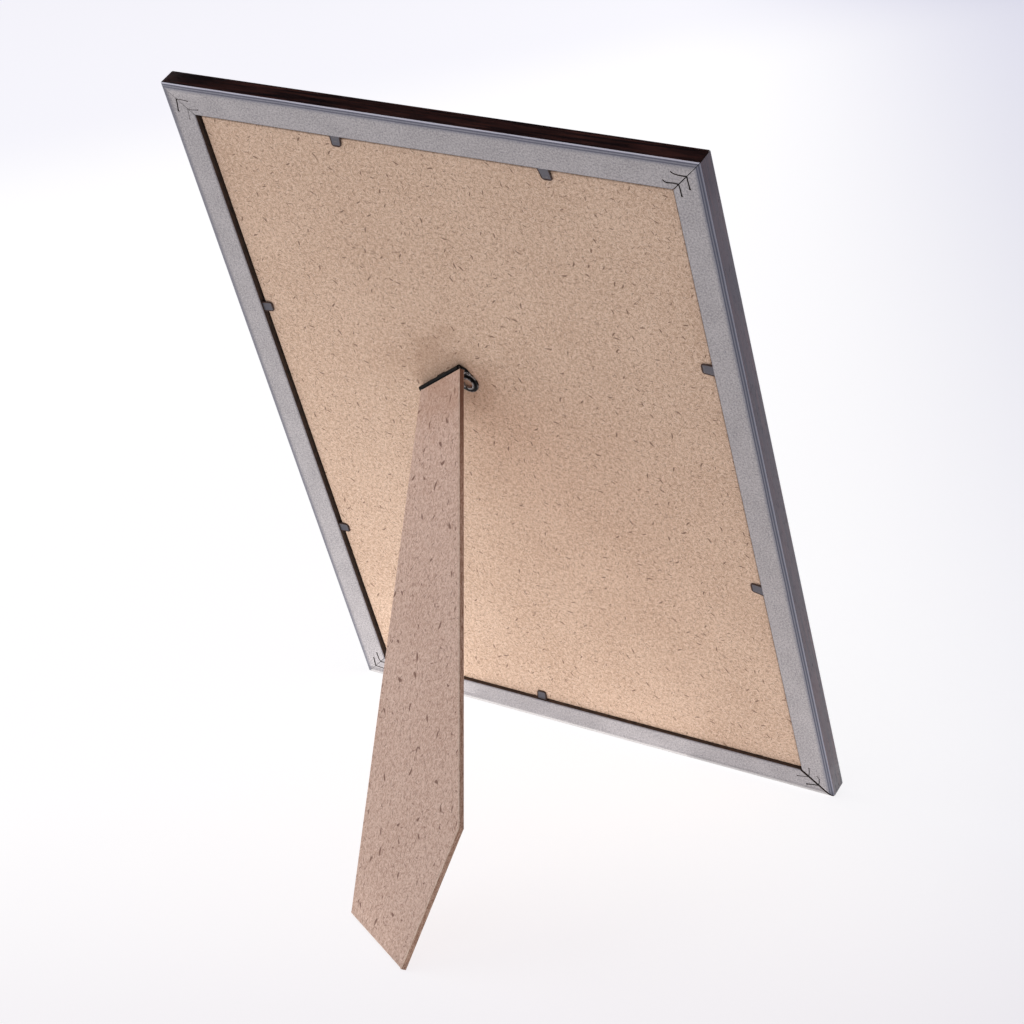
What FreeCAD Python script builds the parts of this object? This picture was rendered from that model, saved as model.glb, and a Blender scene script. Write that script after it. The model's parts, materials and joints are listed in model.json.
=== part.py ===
import FreeCAD, Part
import math
import os
import Sketcher

# Easel back photo frame for a sheet 210 by 297 mm, standing on its bottom edge and on its strut.
#
# The frame faces -Y and leans back. +Z is up, and the origin is on the ground under the middle of
# the whole. Left and right are as seen from the front.
#
# Each piece is drawn in the frame of what carries it:
#   moulding: x along the rail, y in from the rail's outer side, z deep from the back to the front
#   panels:   x to the right, y up from the bottom edge, z deep from the back to the front
#   hinge:    x along the pin, y up the closed strut, z out of the back, from the pin's axis

Vector = FreeCAD.Vector
Rotation = FreeCAD.Rotation
Placement = FreeCAD.Placement

X_AXIS = Vector(1, 0, 0)
Y_AXIS = Vector(0, 1, 0)
Z_AXIS = Vector(0, 0, 1)

# Driving sizes: lengths in millimetres, angles in degrees.
SIZES = {
    # sheet and its play in the rebate
    "print_width": 210.0,
    "print_height": 297.0,
    "play_across": 2.4,
    "play_along": 1.8,
    # moulding
    "rail_width": 12.8,
    "moulding_depth": 9.6,
    "lip_reach": 5.0,
    "lip_edge": 1.6,
    "crown_width": 9.0,
    "front_arris": 1.2,
    "back_arris_width": 2.6,
    "back_arris_depth": 1.15,
    "wall_ease": 0.4,
    # what lies in the rebate
    "glass_thickness": 2.0,
    "glass_arris": 0.25,
    "sheet_thickness": 0.25,
    "board_thickness": 2.45,
    "board_arris": 0.3,
    "board_recess": 1.9,
    # corner nails
    "outer_nail_inset": 6.1,
    "inner_nail_inset": 10.0,
    "nail_leg": 6.3,
    "nail_thickness": 0.45,
    "nail_height": 4.5,
    "nail_sink": 0.35,
    "nail_clearance": 0.02,
    # retaining tabs
    "tab_width": 5.6,
    "tab_thickness": 0.4,
    "tab_root": 8.0,
    "tab_point": 1.6,
    "tab_reach": 6.2,
    "tab_corner": 1.5,
    "tab_knee": 0.5,
    "tab_depth": 1.05,
    "tab_lift": 0.05,
    "tab_clearance": 0.05,
    # hinge
    "hinge_across": 20.7,
    "hinge_above": 37.3,
    "hinge_angle": 35.25,
    "open_angle": 57.0,
    "axis_lift": 2.1,
    "pin_radius": 0.55,
    "pin_clearance": 0.05,
    "pin_overhang": 0.3,
    "knuckle_radius": 1.2,
    "leaf_thickness": 0.6,
    "hinge_length": 27.8,
    "hinge_shift": 3.6,
    "middle_knuckle": 14.0,
    "knuckle_gap": 0.2,
    "leaf_near": 2.4,
    "leaf_far": 9.4,
    "leaf_corner": 1.5,
    "ear_radius": 4.6,
    "ear_drop": 7.9,
    "hanger_hole_radius": 2.3,
    "hanger_rim_width": 1.0,
    "hanger_rim_height": 0.5,
    "hanger_rim_round": 0.3,
    "stop_width": 5.0,
    "stop_angle": -13.0,
    "stop_gap": 0.05,
    # rivets through the lower leaf and the board
    "rivet_radius": 1.2,
    "rivet_clearance": 0.05,
    "rivet_inset": 4.5,
    "rivet_spacing": 8.5,
    "rivet_drop": 6.2,
    "rivet_head_radius": 2.1,
    "rivet_head_height": 0.5,
    "rivet_head_edge": 0.2,
    "rivet_flange_radius": 1.9,
    "rivet_flange_height": 0.35,
    # upper leaf and its prongs
    "strut_leaf_length": 14.0,
    "prong_across": 9.0,
    "prong_first": 5.5,
    "prong_pitch": 6.0,
    "prong_base": 2.4,
    "prong_height": 1.7,
    "prong_clearance": 0.03,
    "window_width": 0.9,
    # strut
    "strut_thickness": 2.4,
    "strut_arris": 0.25,
    "strut_top_drop": 2.3,
    "strut_top_width": 28.3,
    "strut_length": 238.4,
    "tip_offset": 1.9,
    "flank_angle": 6.37,
    # how far a cut runs past what it cuts
    "overrun": 1.0,
}

# Bends of a nail's leg: along the leg, and towards the frame's opening, as shares of its length.
NAIL_BEND_SHARES = ((0.36, 0.015), (0.73, -0.035), (1.0, -0.12))

# Where the neck of a knuckle runs into its ring, as shares of the ring's radius.
NECK_SHARES = ((-0.75, -0.5), (0.0, -0.85))

# How far into its ring a leaf or the stop reaches, as a share of the ring's radius.
RING_ROOT_SHARE = 0.75

# Where the tabs sit, as shares of half the rail's inner length, in each rail's own direction.
TAB_PLACE_SHARES = {
    "retaining_tab_bottom": ("bottom", 0.209),
    "retaining_tab_right_upper": ("right", 0.362),
    "retaining_tab_right_lower": ("right", -0.459),
    "retaining_tab_top_right": ("top", -0.380),
    "retaining_tab_top_left": ("top", 0.486),
    "retaining_tab_left_upper": ("left", -0.442),
    "retaining_tab_left_lower": ("left", 0.313),
}

document = FreeCAD.newDocument("easel_back_frame")
sizes_sheet = document.addObject("Spreadsheet::Sheet", "sizes")
worked_sheet = document.addObject("Spreadsheet::Sheet", "worked")


class Size:
    """A value together with the expression that works it out from the sheet."""

    def __init__(self, value, text):
        self.value = value
        self.text = text

    def __add__(self, other):
        other = as_size(other)
        return Size(self.value + other.value, f"({self.text} + {other.text})")

    def __sub__(self, other):
        other = as_size(other)
        return Size(self.value - other.value, f"({self.text} - {other.text})")

    def __mul__(self, other):
        other = as_size(other)
        return Size(self.value * other.value, f"({self.text} * {other.text})")

    def __truediv__(self, other):
        other = as_size(other)
        return Size(self.value / other.value, f"({self.text} / {other.text})")

    def __neg__(self):
        return Size(-self.value, f"(-1 * {self.text})")


def as_size(thing):
    """Return a size as it is, and a plain count or share as a size."""
    if isinstance(thing, Size):
        return thing
    return Size(thing, f"({thing})")


def sine(angle):
    return Size(math.sin(math.radians(angle.value)), f"sin({angle.text} * 1 deg)")


def cosine(angle):
    return Size(math.cos(math.radians(angle.value)), f"cos({angle.text} * 1 deg)")


def tangent(angle):
    return Size(math.tan(math.radians(angle.value)), f"tan({angle.text} * 1 deg)")


def root(size):
    return Size(math.sqrt(size.value), f"sqrt({size.text})")


def fill_sheet():
    """Write the driving sizes to the sheet and return them by name."""
    named = {}
    for row, (alias, value) in enumerate(SIZES.items(), start=1):
        sizes_sheet.set(f"A{row}", alias.replace("_", " "))
        sizes_sheet.set(f"B{row}", str(value))
        sizes_sheet.setAlias(f"B{row}", alias)
        named[alias] = Size(value, f"sizes.{alias}")
    return named


size = fill_sheet()
worked_rows = []


def keep(alias, worked):
    """Keep a worked size in the second sheet, so that expressions stay short."""
    worked_rows.append(alias)
    row = len(worked_rows)
    worked_sheet.set(f"A{row}", alias.replace("_", " "))
    worked_sheet.set(f"B{row}", f"={worked.text}")
    worked_sheet.setAlias(f"B{row}", alias)
    return Size(worked.value, f"worked.{alias}")


ZERO = Size(0, "0")

rebate_width = keep("rebate_width", size["print_width"] + size["play_across"])
rebate_height = keep("rebate_height", size["print_height"] + size["play_along"])
outer_width = keep("outer_width", rebate_width + size["rail_width"] * 2)
outer_height = keep("outer_height", rebate_height + size["rail_width"] * 2)
board_inner = keep("board_inner", size["board_recess"] + size["board_thickness"])
sheet_inner = keep("sheet_inner", board_inner + size["sheet_thickness"])
rebate_depth = keep("rebate_depth", sheet_inner + size["glass_thickness"])

# The hinge point on the panel, and the pin's height over the back of the moulding.
hinge_x = keep("hinge_x", size["hinge_across"])
hinge_z = keep("hinge_z", outer_height / 2 + size["hinge_above"])
pin_height = keep("pin_height", size["axis_lift"] - size["board_recess"])
hinge_sine = keep("hinge_sine", sine(size["hinge_angle"]))
hinge_cosine = keep("hinge_cosine", cosine(size["hinge_angle"]))
open_sine = keep("open_sine", sine(size["open_angle"]))
open_cosine = keep("open_cosine", cosine(size["open_angle"]))
flank_slope = keep("flank_slope", tangent(size["flank_angle"]))

# The open strut's tip, from the frame's middle, its bottom edge and its back.
tip_across = keep(
    "tip_across",
    hinge_x - size["tip_offset"] * hinge_cosine - size["strut_length"] * open_cosine * hinge_sine,
)
tip_up = keep(
    "tip_up",
    hinge_z + size["tip_offset"] * hinge_sine - size["strut_length"] * open_cosine * hinge_cosine,
)
tip_out = keep("tip_out", pin_height + size["strut_length"] * open_sine)

# How far the frame leans back, upright and on its side, with the tip and an outer arris on the ground.
tip_from_arris = keep("tip_from_arris", tip_out + size["back_arris_depth"])
upright_lean = keep("upright_lean", tip_up / tip_from_arris)
sideways_lean = keep("sideways_lean", (outer_width / 2 + tip_across) / tip_from_arris)

# The two foot cuts that meet at the tip lie level in the two stances.
upright_cut = keep(
    "upright_cut", hinge_sine / (open_cosine * hinge_cosine + open_sine * upright_lean)
)
sideways_cut = keep(
    "sideways_cut", hinge_cosine / (open_cosine * hinge_sine + open_sine * sideways_lean)
)
half_top = keep("half_top", size["strut_top_width"] / 2)
widening = keep("widening", (size["strut_length"] - size["strut_top_drop"]) * flank_slope)
left_shoulder_x = keep(
    "left_shoulder_x",
    (size["tip_offset"] * upright_cut * flank_slope - half_top - widening)
    / (upright_cut * flank_slope + 1),
)
left_shoulder_y = keep(
    "left_shoulder_y",
    -size["strut_length"] + (size["tip_offset"] - left_shoulder_x) * upright_cut,
)
right_shoulder_x = keep(
    "right_shoulder_x",
    (size["tip_offset"] * sideways_cut * flank_slope + half_top + widening)
    / (sideways_cut * flank_slope + 1),
)
right_shoulder_y = keep(
    "right_shoulder_y",
    -size["strut_length"] + (right_shoulder_x - size["tip_offset"]) * sideways_cut,
)

# The hinge along its pin.
hinge_left = keep("hinge_left", -size["hinge_shift"] - size["hinge_length"] / 2)
hinge_right = keep("hinge_right", -size["hinge_shift"] + size["hinge_length"] / 2)
middle_left = keep("middle_left", -size["hinge_shift"] - size["middle_knuckle"] / 2)
middle_right = keep("middle_right", -size["hinge_shift"] + size["middle_knuckle"] / 2)
side_knuckle = keep("side_knuckle", middle_left - hinge_left)
bore_radius = keep("bore_radius", size["pin_radius"] + size["pin_clearance"])
leaf_top = keep("leaf_top", size["leaf_thickness"] - size["axis_lift"])
board_floor = keep("board_floor", -size["axis_lift"] - size["board_thickness"])
ear_x = keep("ear_x", hinge_right - size["ear_radius"])
rivet_x = keep("rivet_x", hinge_left + size["rivet_inset"])

LEFT = 1
RIGHT = -1


class Corner:
    """A corner of an outline, and the bend of the edge that leads to it, if it has one."""

    def __init__(self, x, y, radius=None, centre_side=LEFT):
        self.x = x
        self.y = y
        self.radius = radius
        self.centre_side = centre_side


def new_body(label):
    body = document.addObject("PartDesign::Body", label)
    body.Label = label
    return body


def new_sketch(body, label, plane, offset=None):
    """Add a sketch on one of the body's own origin planes, or at an offset along its normal."""
    sketch = body.newObject("Sketcher::SketchObject", label)
    for feature in body.Origin.OriginFeatures:
        if feature.Role == plane:
            sketch.AttachmentSupport = [(feature, "")]
    sketch.MapMode = "FlatFace"
    if offset is not None:
        sketch.AttachmentOffset = Placement(Vector(0, 0, offset.value), Rotation())
        sketch.setExpression("AttachmentOffset.Base.z", offset.text)
    return sketch


def bind(sketch, bound):
    """Add constraints that hold sizes and tie each to its expression."""
    indices = sketch.addConstraint([constraint for constraint, worked in bound])
    for index, (constraint, worked) in zip(indices, bound):
        if worked is not None:
            name = f"size_{index}"
            sketch.renameConstraint(index, name)
            sketch.setExpression(f"Constraints.{name}", worked.text)


def place_point(geometry, end, x, y):
    """Return the constraints that put a point at its place from the sketch's origin."""
    if x is ZERO:
        across = (Sketcher.Constraint("PointOnObject", geometry, end, -2), None)
    else:
        across = (Sketcher.Constraint("DistanceX", -1, 1, geometry, end, x.value), x)
    if y is ZERO:
        along = (Sketcher.Constraint("PointOnObject", geometry, end, -1), None)
    else:
        along = (Sketcher.Constraint("DistanceY", -1, 1, geometry, end, y.value), y)
    return [across, along]


def bend_arc(start, finish, radius, centre_side):
    """Return the arc of less than half a turn from start to finish."""
    chord = finish - start
    reach = math.sqrt(max(radius ** 2 - (chord.Length / 2) ** 2, 0))
    square = Vector(-chord.y, chord.x, 0).normalize()
    centre = (start + finish) / 2 + square * reach * centre_side
    first = start if centre_side == LEFT else finish
    last = finish if centre_side == LEFT else start
    first_angle = math.atan2(first.y - centre.y, first.x - centre.x)
    last_angle = math.atan2(last.y - centre.y, last.x - centre.x)
    return Part.ArcOfCircle(Part.Circle(centre, Z_AXIS, radius), first_angle, last_angle)


def draw_outline(sketch, corners):
    """Draw a closed outline, with every corner and radius bound to its size."""
    first = sketch.GeometryCount
    points = [Vector(corner.x.value, corner.y.value, 0) for corner in corners]
    edges = []
    ends = []
    bound = []
    for number, corner in enumerate(corners):
        before = points[number - 1]
        here = points[number]
        if corner.radius is None:
            edges.append(Part.LineSegment(before, here))
            ends.append((1, 2))
            continue
        edges.append(bend_arc(before, here, corner.radius.value, corner.centre_side))
        ends.append((1, 2) if corner.centre_side == LEFT else (2, 1))
        radius = Sketcher.Constraint("Radius", first + number, corner.radius.value)
        bound.append((radius, corner.radius))
    sketch.addGeometry(edges, False)
    for number, corner in enumerate(corners):
        following = (number + 1) % len(corners)
        here = first + number
        joint = Sketcher.Constraint(
            "Coincident", here, ends[number][1], first + following, ends[following][0]
        )
        bound.append((joint, None))
        bound.extend(place_point(here, ends[number][1], corner.x, corner.y))
    bind(sketch, bound)


def draw_circle(sketch, x, y, radius):
    geometry = sketch.GeometryCount
    centre = Vector(x.value, y.value, 0)
    sketch.addGeometry(Part.Circle(centre, Z_AXIS, radius.value), False)
    bound = place_point(geometry, 3, x, y)
    bound.append((Sketcher.Constraint("Radius", geometry, radius.value), radius))
    bind(sketch, bound)


def draw_box(sketch, left, bottom, right, top):
    corners = [Corner(left, bottom), Corner(right, bottom), Corner(right, top), Corner(left, top)]
    draw_outline(sketch, corners)


def add_pad(body, label, sketch, length, symmetric=False):
    pad = body.newObject("PartDesign::Pad", label)
    pad.Profile = sketch
    pad.SideType = "Symmetric" if symmetric else "One side"
    pad.setExpression("Length", length.text)
    return pad


def add_pocket(body, label, sketch, depth, symmetric=False):
    """Cut along the sketch's own normal, or evenly to both sides of it."""
    pocket = body.newObject("PartDesign::Pocket", label)
    pocket.Profile = sketch
    pocket.SideType = "Symmetric" if symmetric else "One side"
    pocket.Reversed = not symmetric
    pocket.setExpression("Length", depth.text)
    return pocket


def origin_feature(body, role):
    for feature in body.Origin.OriginFeatures:
        if feature.Role == role:
            return feature
    raise ValueError(role)


def add_mirror(body, label, originals, plane):
    mirror = body.newObject("PartDesign::Mirrored", label)
    mirror.Originals = originals
    mirror.MirrorPlane = (origin_feature(body, plane), [""])
    body.Tip = mirror
    return mirror


def add_pair(body, label, originals, axis, spacing):
    """Repeat features once more along one of the body's own axes."""
    pair = body.newObject("PartDesign::LinearPattern", label)
    pair.Originals = originals
    pair.Direction = (origin_feature(body, axis), [""])
    pair.Occurrences = 2
    pair.Mode = "Spacing"
    pair.setExpression("Offset", spacing.text)
    body.Tip = pair
    return pair


def ease_faces(body, label, kind, amount, depths):
    """Chamfer or fillet every edge of the flat faces that lie at the given depths."""
    document.recompute()
    base = body.Tip
    names = []
    for index, face in enumerate(base.Shape.Faces, start=1):
        box = face.BoundBox
        for depth in depths:
            if max(abs(box.ZMin - depth.value), abs(box.ZMax - depth.value)) < Part.Precision.confusion():
                names.append(f"Face{index}")
    feature = body.newObject(kind, label)
    feature.Base = (base, names)
    feature.setExpression("Size" if kind == "PartDesign::Chamfer" else "Radius", amount.text)
    return feature


def nail_side(inset, half_thickness, leg):
    """Return one side of a nail's leg from the apex to its end, at a signed half thickness."""
    side = [(inset + half_thickness, inset + half_thickness)]
    for along_share, inward_share in NAIL_BEND_SHARES:
        side.append((inset + leg * along_share, inset + leg * inward_share + half_thickness))
    return side


def make_rail(label, length, tab_places):
    """Make one mitred rail with its slots for the corner nails and the tabs."""
    body = new_body(label)
    rail_width = size["rail_width"]
    lip_end = rail_width + size["lip_reach"]
    sight_depth = rebate_depth + size["lip_edge"]
    ease = size["wall_ease"]
    run = lip_end - size["crown_width"]
    rise = size["moulding_depth"] - sight_depth
    crown_radius = (run * run + rise * rise) / (rise * 2)
    arris_width = size["back_arris_width"]
    arris_depth = size["back_arris_depth"]
    back_radius = (arris_width * arris_width + arris_depth * arris_depth) / (arris_depth * 2)
    section = new_sketch(body, f"{label}_section", "YZ_Plane")
    draw_outline(section, [
        Corner(arris_width, ZERO, back_radius),
        Corner(rail_width - ease, ZERO),
        Corner(rail_width, ease, ease),
        Corner(rail_width, rebate_depth),
        Corner(lip_end, rebate_depth),
        Corner(lip_end, sight_depth),
        Corner(size["crown_width"], size["moulding_depth"], crown_radius),
        Corner(size["front_arris"], size["moulding_depth"]),
        Corner(ZERO, size["moulding_depth"] - size["front_arris"], size["front_arris"]),
        Corner(ZERO, arris_depth),
    ])
    add_pad(body, f"{label}_length", section, length, symmetric=True)

    end = length / 2
    overrun = size["overrun"]
    mitre = new_sketch(body, f"{label}_mitre", "XY_Plane")
    draw_outline(mitre, [
        Corner(-end - overrun, -overrun),
        Corner(-end + lip_end + overrun, lip_end + overrun),
        Corner(-end - overrun, lip_end + overrun),
    ])
    mitre_cut = add_pocket(body, f"{label}_mitre_cut", mitre, size["moulding_depth"] + overrun)

    slots = new_sketch(body, f"{label}_nail_slots", "XY_Plane")
    half_slot = size["nail_thickness"] / 2 + size["nail_clearance"]
    leg = size["nail_leg"] + size["nail_clearance"]
    for inset in (size["outer_nail_inset"], size["inner_nail_inset"]):
        outward = nail_side(inset, -half_slot, leg)
        inward = nail_side(inset, half_slot, leg)
        places = [(inset - half_slot - overrun, inset - half_slot)]
        places += outward + inward[::-1]
        places.append((inset - half_slot - overrun, inset + half_slot))
        draw_outline(slots, [Corner(x - end, y) for x, y in places])
    nail_cut = add_pocket(
        body, f"{label}_nail_cut", slots, size["nail_height"] + size["nail_clearance"]
    )
    add_mirror(body, f"{label}_other_end", [mitre_cut, nail_cut], "YZ_Plane")

    clearance = size["tab_clearance"]
    for number, place in enumerate(tab_places, start=1):
        slot = new_sketch(
            body, f"{label}_tab_slot_{number}", "XY_Plane", size["tab_depth"] - clearance
        )
        half = size["tab_width"] / 2 + clearance
        bottom = rail_width - size["tab_root"] - clearance
        point = size["tab_point"]
        draw_outline(slot, [
            Corner(place - half + point, bottom),
            Corner(place + half - point, bottom),
            Corner(place + half, bottom + point),
            Corner(place + half, rail_width + overrun),
            Corner(place - half, rail_width + overrun),
            Corner(place - half, bottom + point),
        ])
        add_pocket(
            body, f"{label}_tab_cut_{number}", slot, size["tab_thickness"] + clearance * 2
        )
    return body


def make_corner_nails(label):
    """Make the two nails of one corner, in the frame of the rail that starts there."""
    body = new_body(label)
    sketch = new_sketch(body, f"{label}_legs", "XY_Plane", size["nail_sink"])
    half = size["nail_thickness"] / 2
    for inset in (size["outer_nail_inset"], size["inner_nail_inset"]):
        outward = nail_side(inset, -half, size["nail_leg"])
        inward = nail_side(inset, half, size["nail_leg"])
        other_outward = [(y, x) for x, y in outward[1:]]
        other_inward = [(y, x) for x, y in inward[1:]]
        places = outward + inward[::-1] + other_inward + other_outward[::-1]
        draw_outline(sketch, [Corner(x, y) for x, y in places])
    add_pad(body, f"{label}_height", sketch, size["nail_height"] - size["nail_sink"])
    return body


def make_tab(label):
    """Make one tab: a flat root in the moulding, bent down to just over the board."""
    body = new_body(label)
    wall = size["rail_width"]
    knee = wall + size["tab_knee"]
    tip = wall + size["tab_reach"]
    root_end = wall - size["tab_root"]
    upper = size["tab_depth"]
    lower = upper + size["tab_thickness"]
    tip_lower = size["board_recess"] - size["tab_lift"]
    side = new_sketch(body, f"{label}_side", "YZ_Plane")
    draw_outline(side, [
        Corner(root_end, upper),
        Corner(knee, upper),
        Corner(tip, tip_lower - size["tab_thickness"]),
        Corner(tip, tip_lower),
        Corner(knee, lower),
        Corner(root_end, lower),
    ])
    add_pad(body, f"{label}_width", side, size["tab_width"], symmetric=True)

    half = size["tab_width"] / 2
    over = size["overrun"]
    bend = size["tab_corner"]
    point = size["tab_point"]
    corners = new_sketch(body, f"{label}_corners", "XY_Plane")
    draw_outline(corners, [
        Corner(half, tip - bend, bend, RIGHT),
        Corner(half + over, tip - bend),
        Corner(half + over, tip + over),
        Corner(half - bend, tip + over),
        Corner(half - bend, tip),
    ])
    draw_outline(corners, [
        Corner(half - point, root_end),
        Corner(half - point, root_end - over),
        Corner(half + over, root_end - over),
        Corner(half + over, root_end + point),
        Corner(half, root_end + point),
    ])
    cut = add_pocket(body, f"{label}_corner_cut", corners, size["board_recess"] + over)
    add_mirror(body, f"{label}_other_side", [cut], "YZ_Plane")
    return body


def make_glass():
    body = new_body("glass_pane")
    sketch = new_sketch(body, "glass_outline", "XY_Plane", sheet_inner)
    half = size["print_width"] / 2
    draw_box(sketch, -half, size["rail_width"], half, size["rail_width"] + size["print_height"])
    body.Tip = add_pad(body, "glass_thickness", sketch, size["glass_thickness"])
    ease_faces(body, "glass_arris", "PartDesign::Chamfer", size["glass_arris"], (sheet_inner, rebate_depth))
    return body


def make_sheet():
    body = new_body("picture_sheet")
    sketch = new_sketch(body, "sheet_outline", "XY_Plane", board_inner)
    half = size["print_width"] / 2
    draw_box(sketch, -half, size["rail_width"], half, size["rail_width"] + size["print_height"])
    add_pad(body, "sheet_thickness", sketch, size["sheet_thickness"])
    return body


def on_panel(x, y):
    """Return the place on the panels of a point given from the hinge point."""
    across = hinge_x - x * hinge_cosine + y * hinge_sine
    up = hinge_z + x * hinge_sine + y * hinge_cosine
    return across, up


def make_board():
    """Make the backing board with its rivet holes, counterbored on the inner face."""
    body = new_body("backing_board")
    sketch = new_sketch(body, "board_outline", "XY_Plane", size["board_recess"])
    half = size["print_width"] / 2
    draw_box(sketch, -half, size["rail_width"], half, size["rail_width"] + size["print_height"])
    body.Tip = add_pad(body, "board_thickness", sketch, size["board_thickness"])
    ease_faces(body, "board_arris", "PartDesign::Chamfer", size["board_arris"], (size["board_recess"],))
    holes = new_sketch(body, "rivet_holes", "XY_Plane", size["board_recess"] - size["overrun"])
    flange_floor = board_inner - size["rivet_flange_height"]
    seats = new_sketch(body, "flange_seats", "XY_Plane", flange_floor)
    for x in (rivet_x, rivet_x + size["rivet_spacing"]):
        across, up = on_panel(x, -size["rivet_drop"])
        draw_circle(holes, across, up, size["rivet_radius"] + size["rivet_clearance"])
        draw_circle(seats, across, up, size["rivet_flange_radius"] + size["rivet_clearance"])
    add_pocket(body, "rivet_hole_cut", holes, size["board_thickness"] + size["overrun"] * 2)
    add_pocket(body, "flange_seat_cut", seats, size["rivet_flange_height"] + size["overrun"])
    return body


def add_ring(body, label, start, length):
    """Add one rolled knuckle round the pin, with its bore still closed."""
    sketch = new_sketch(body, f"{label}_ring", "YZ_Plane", start)
    draw_circle(sketch, ZERO, ZERO, size["knuckle_radius"])
    return add_pad(body, f"{label}_length", sketch, length)


def bore_rings(body, label):
    sketch = new_sketch(body, f"{label}_bore", "YZ_Plane")
    draw_circle(sketch, ZERO, ZERO, bore_radius)
    return add_pocket(body, f"{label}_bore_cut", sketch, size["hinge_length"] * 2, symmetric=True)


def make_board_leaf():
    """Make the leaf on the board: plate, two knuckles and the ear with the hanger hole."""
    body = new_body("hinge_board_leaf")
    near = -size["leaf_near"]
    far = -size["leaf_far"]
    bend = size["leaf_corner"]
    radius = size["ear_radius"]
    ear_y = -size["ear_drop"]
    below = far - ear_y
    ear_start = ear_x - root(radius * radius - below * below)
    plate = new_sketch(body, "lower_plate", "XY_Plane", -size["axis_lift"])
    draw_outline(plate, [
        Corner(hinge_left, near),
        Corner(hinge_left, far + bend),
        Corner(hinge_left + bend, far, bend),
        Corner(ear_start, far),
        Corner(hinge_right, ear_y, radius),
        Corner(hinge_right, near),
    ])
    add_pad(body, "lower_plate_thickness", plate, size["leaf_thickness"])

    reach = size["knuckle_radius"]
    (inner_y, inner_z), (foot_y, foot_z) = NECK_SHARES
    plate_edge = near - size["leaf_thickness"]
    for number, start in enumerate((hinge_left, middle_right), start=1):
        neck = new_sketch(body, f"neck_{number}", "YZ_Plane", start)
        draw_outline(neck, [
            Corner(plate_edge, -size["axis_lift"]),
            Corner(near, -size["axis_lift"]),
            Corner(reach * foot_y, reach * foot_z),
            Corner(reach * inner_y, reach * inner_z),
            Corner(near, leaf_top),
            Corner(plate_edge, leaf_top),
        ])
        add_pad(body, f"neck_{number}_length", neck, side_knuckle)
        add_ring(body, f"side_knuckle_{number}", start, side_knuckle)

    rim = new_sketch(body, "hanger_rim", "XY_Plane", leaf_top)
    rim_radius = size["hanger_hole_radius"] + size["hanger_rim_width"]
    draw_circle(rim, ear_x, ear_y, rim_radius)
    body.Tip = add_pad(body, "hanger_rim_height", rim, size["hanger_rim_height"])
    rim_top = leaf_top + size["hanger_rim_height"]
    ease_faces(body, "hanger_rim_round", "PartDesign::Fillet", size["hanger_rim_round"], (rim_top,))
    bore_rings(body, "lower_leaf")
    over = size["overrun"]
    holes = new_sketch(body, "lower_leaf_holes", "XY_Plane", -size["axis_lift"] - over)
    draw_circle(holes, ear_x, ear_y, size["hanger_hole_radius"])
    for x in (rivet_x, rivet_x + size["rivet_spacing"]):
        draw_circle(holes, x, -size["rivet_drop"], size["rivet_radius"] + size["rivet_clearance"])
    add_pocket(body, "lower_leaf_hole_cut", holes, size["axis_lift"] + over)
    return body


def prong_corners(row, clearance):
    """Return a prong's side: a triangle that stands on the strut's inner face."""
    middle = -size["prong_first"] - size["prong_pitch"] * row
    half = size["prong_base"] / 2 + clearance
    return [
        Corner(middle - half, ZERO),
        Corner(middle + half, ZERO),
        Corner(middle, size["prong_height"] + clearance),
    ]


def make_strut_leaf():
    """Make the leaf on the strut: knuckle, stop, plate and the prongs that hold it."""
    body = new_body("hinge_strut_leaf")
    start = middle_left + size["knuckle_gap"]
    finish = middle_right - size["knuckle_gap"]
    bend = size["leaf_corner"]
    plate_start = -size["knuckle_radius"] * RING_ROOT_SHARE
    far = -size["strut_leaf_length"]
    plate = new_sketch(body, "upper_plate", "XY_Plane", -size["leaf_thickness"])
    draw_outline(plate, [
        Corner(start, plate_start),
        Corner(start, far + bend),
        Corner(start + bend, far, bend),
        Corner(finish - bend, far),
        Corner(finish, far + bend, bend),
        Corner(finish, plate_start),
    ])
    add_pad(body, "upper_plate_thickness", plate, size["leaf_thickness"])
    add_ring(body, "middle_knuckle", start, finish - start)

    # The stop meets the board when the strut is open.
    half = size["leaf_thickness"] / 2
    sweep = size["open_angle"] - size["stop_angle"]
    reach = (size["axis_lift"] - size["stop_gap"] - half * cosine(sweep)) / sine(sweep)
    stop_root = size["knuckle_radius"] * RING_ROOT_SHARE
    along_y = cosine(size["stop_angle"])
    along_z = sine(size["stop_angle"])
    stop_start = -size["hinge_shift"] - size["stop_width"] / 2
    stop = new_sketch(body, "stop_section", "YZ_Plane", stop_start)
    places = ((stop_root, half), (stop_root, -half), (reach, -half), (reach, half))
    draw_outline(stop, [
        Corner(out * along_y - up * along_z, out * along_z + up * along_y) for out, up in places
    ])
    add_pad(body, "stop_length", stop, size["stop_width"])

    left_prong = -size["hinge_shift"] - size["prong_across"] / 2
    thick = size["leaf_thickness"]
    prongs = new_sketch(body, "prong_sides", "YZ_Plane", left_prong - thick / 2)
    windows = new_sketch(body, "prong_windows", "XY_Plane", -thick - size["overrun"])
    for row in range(2):
        draw_outline(prongs, prong_corners(row, ZERO))
        middle = -size["prong_first"] - size["prong_pitch"] * row
        window_left = left_prong + thick / 2
        window_right = window_left + size["window_width"]
        half_base = size["prong_base"] / 2
        draw_box(windows, window_left, middle - half_base, window_right, middle + half_base)
    prong_pad = add_pad(body, "prong_thickness", prongs, thick)
    window_cut = add_pocket(body, "window_cut", windows, thick + size["overrun"] * 2)
    add_pair(body, "other_prongs", [prong_pad, window_cut], "X_Axis", size["prong_across"])
    bore_rings(body, "upper_leaf")
    return body


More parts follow.
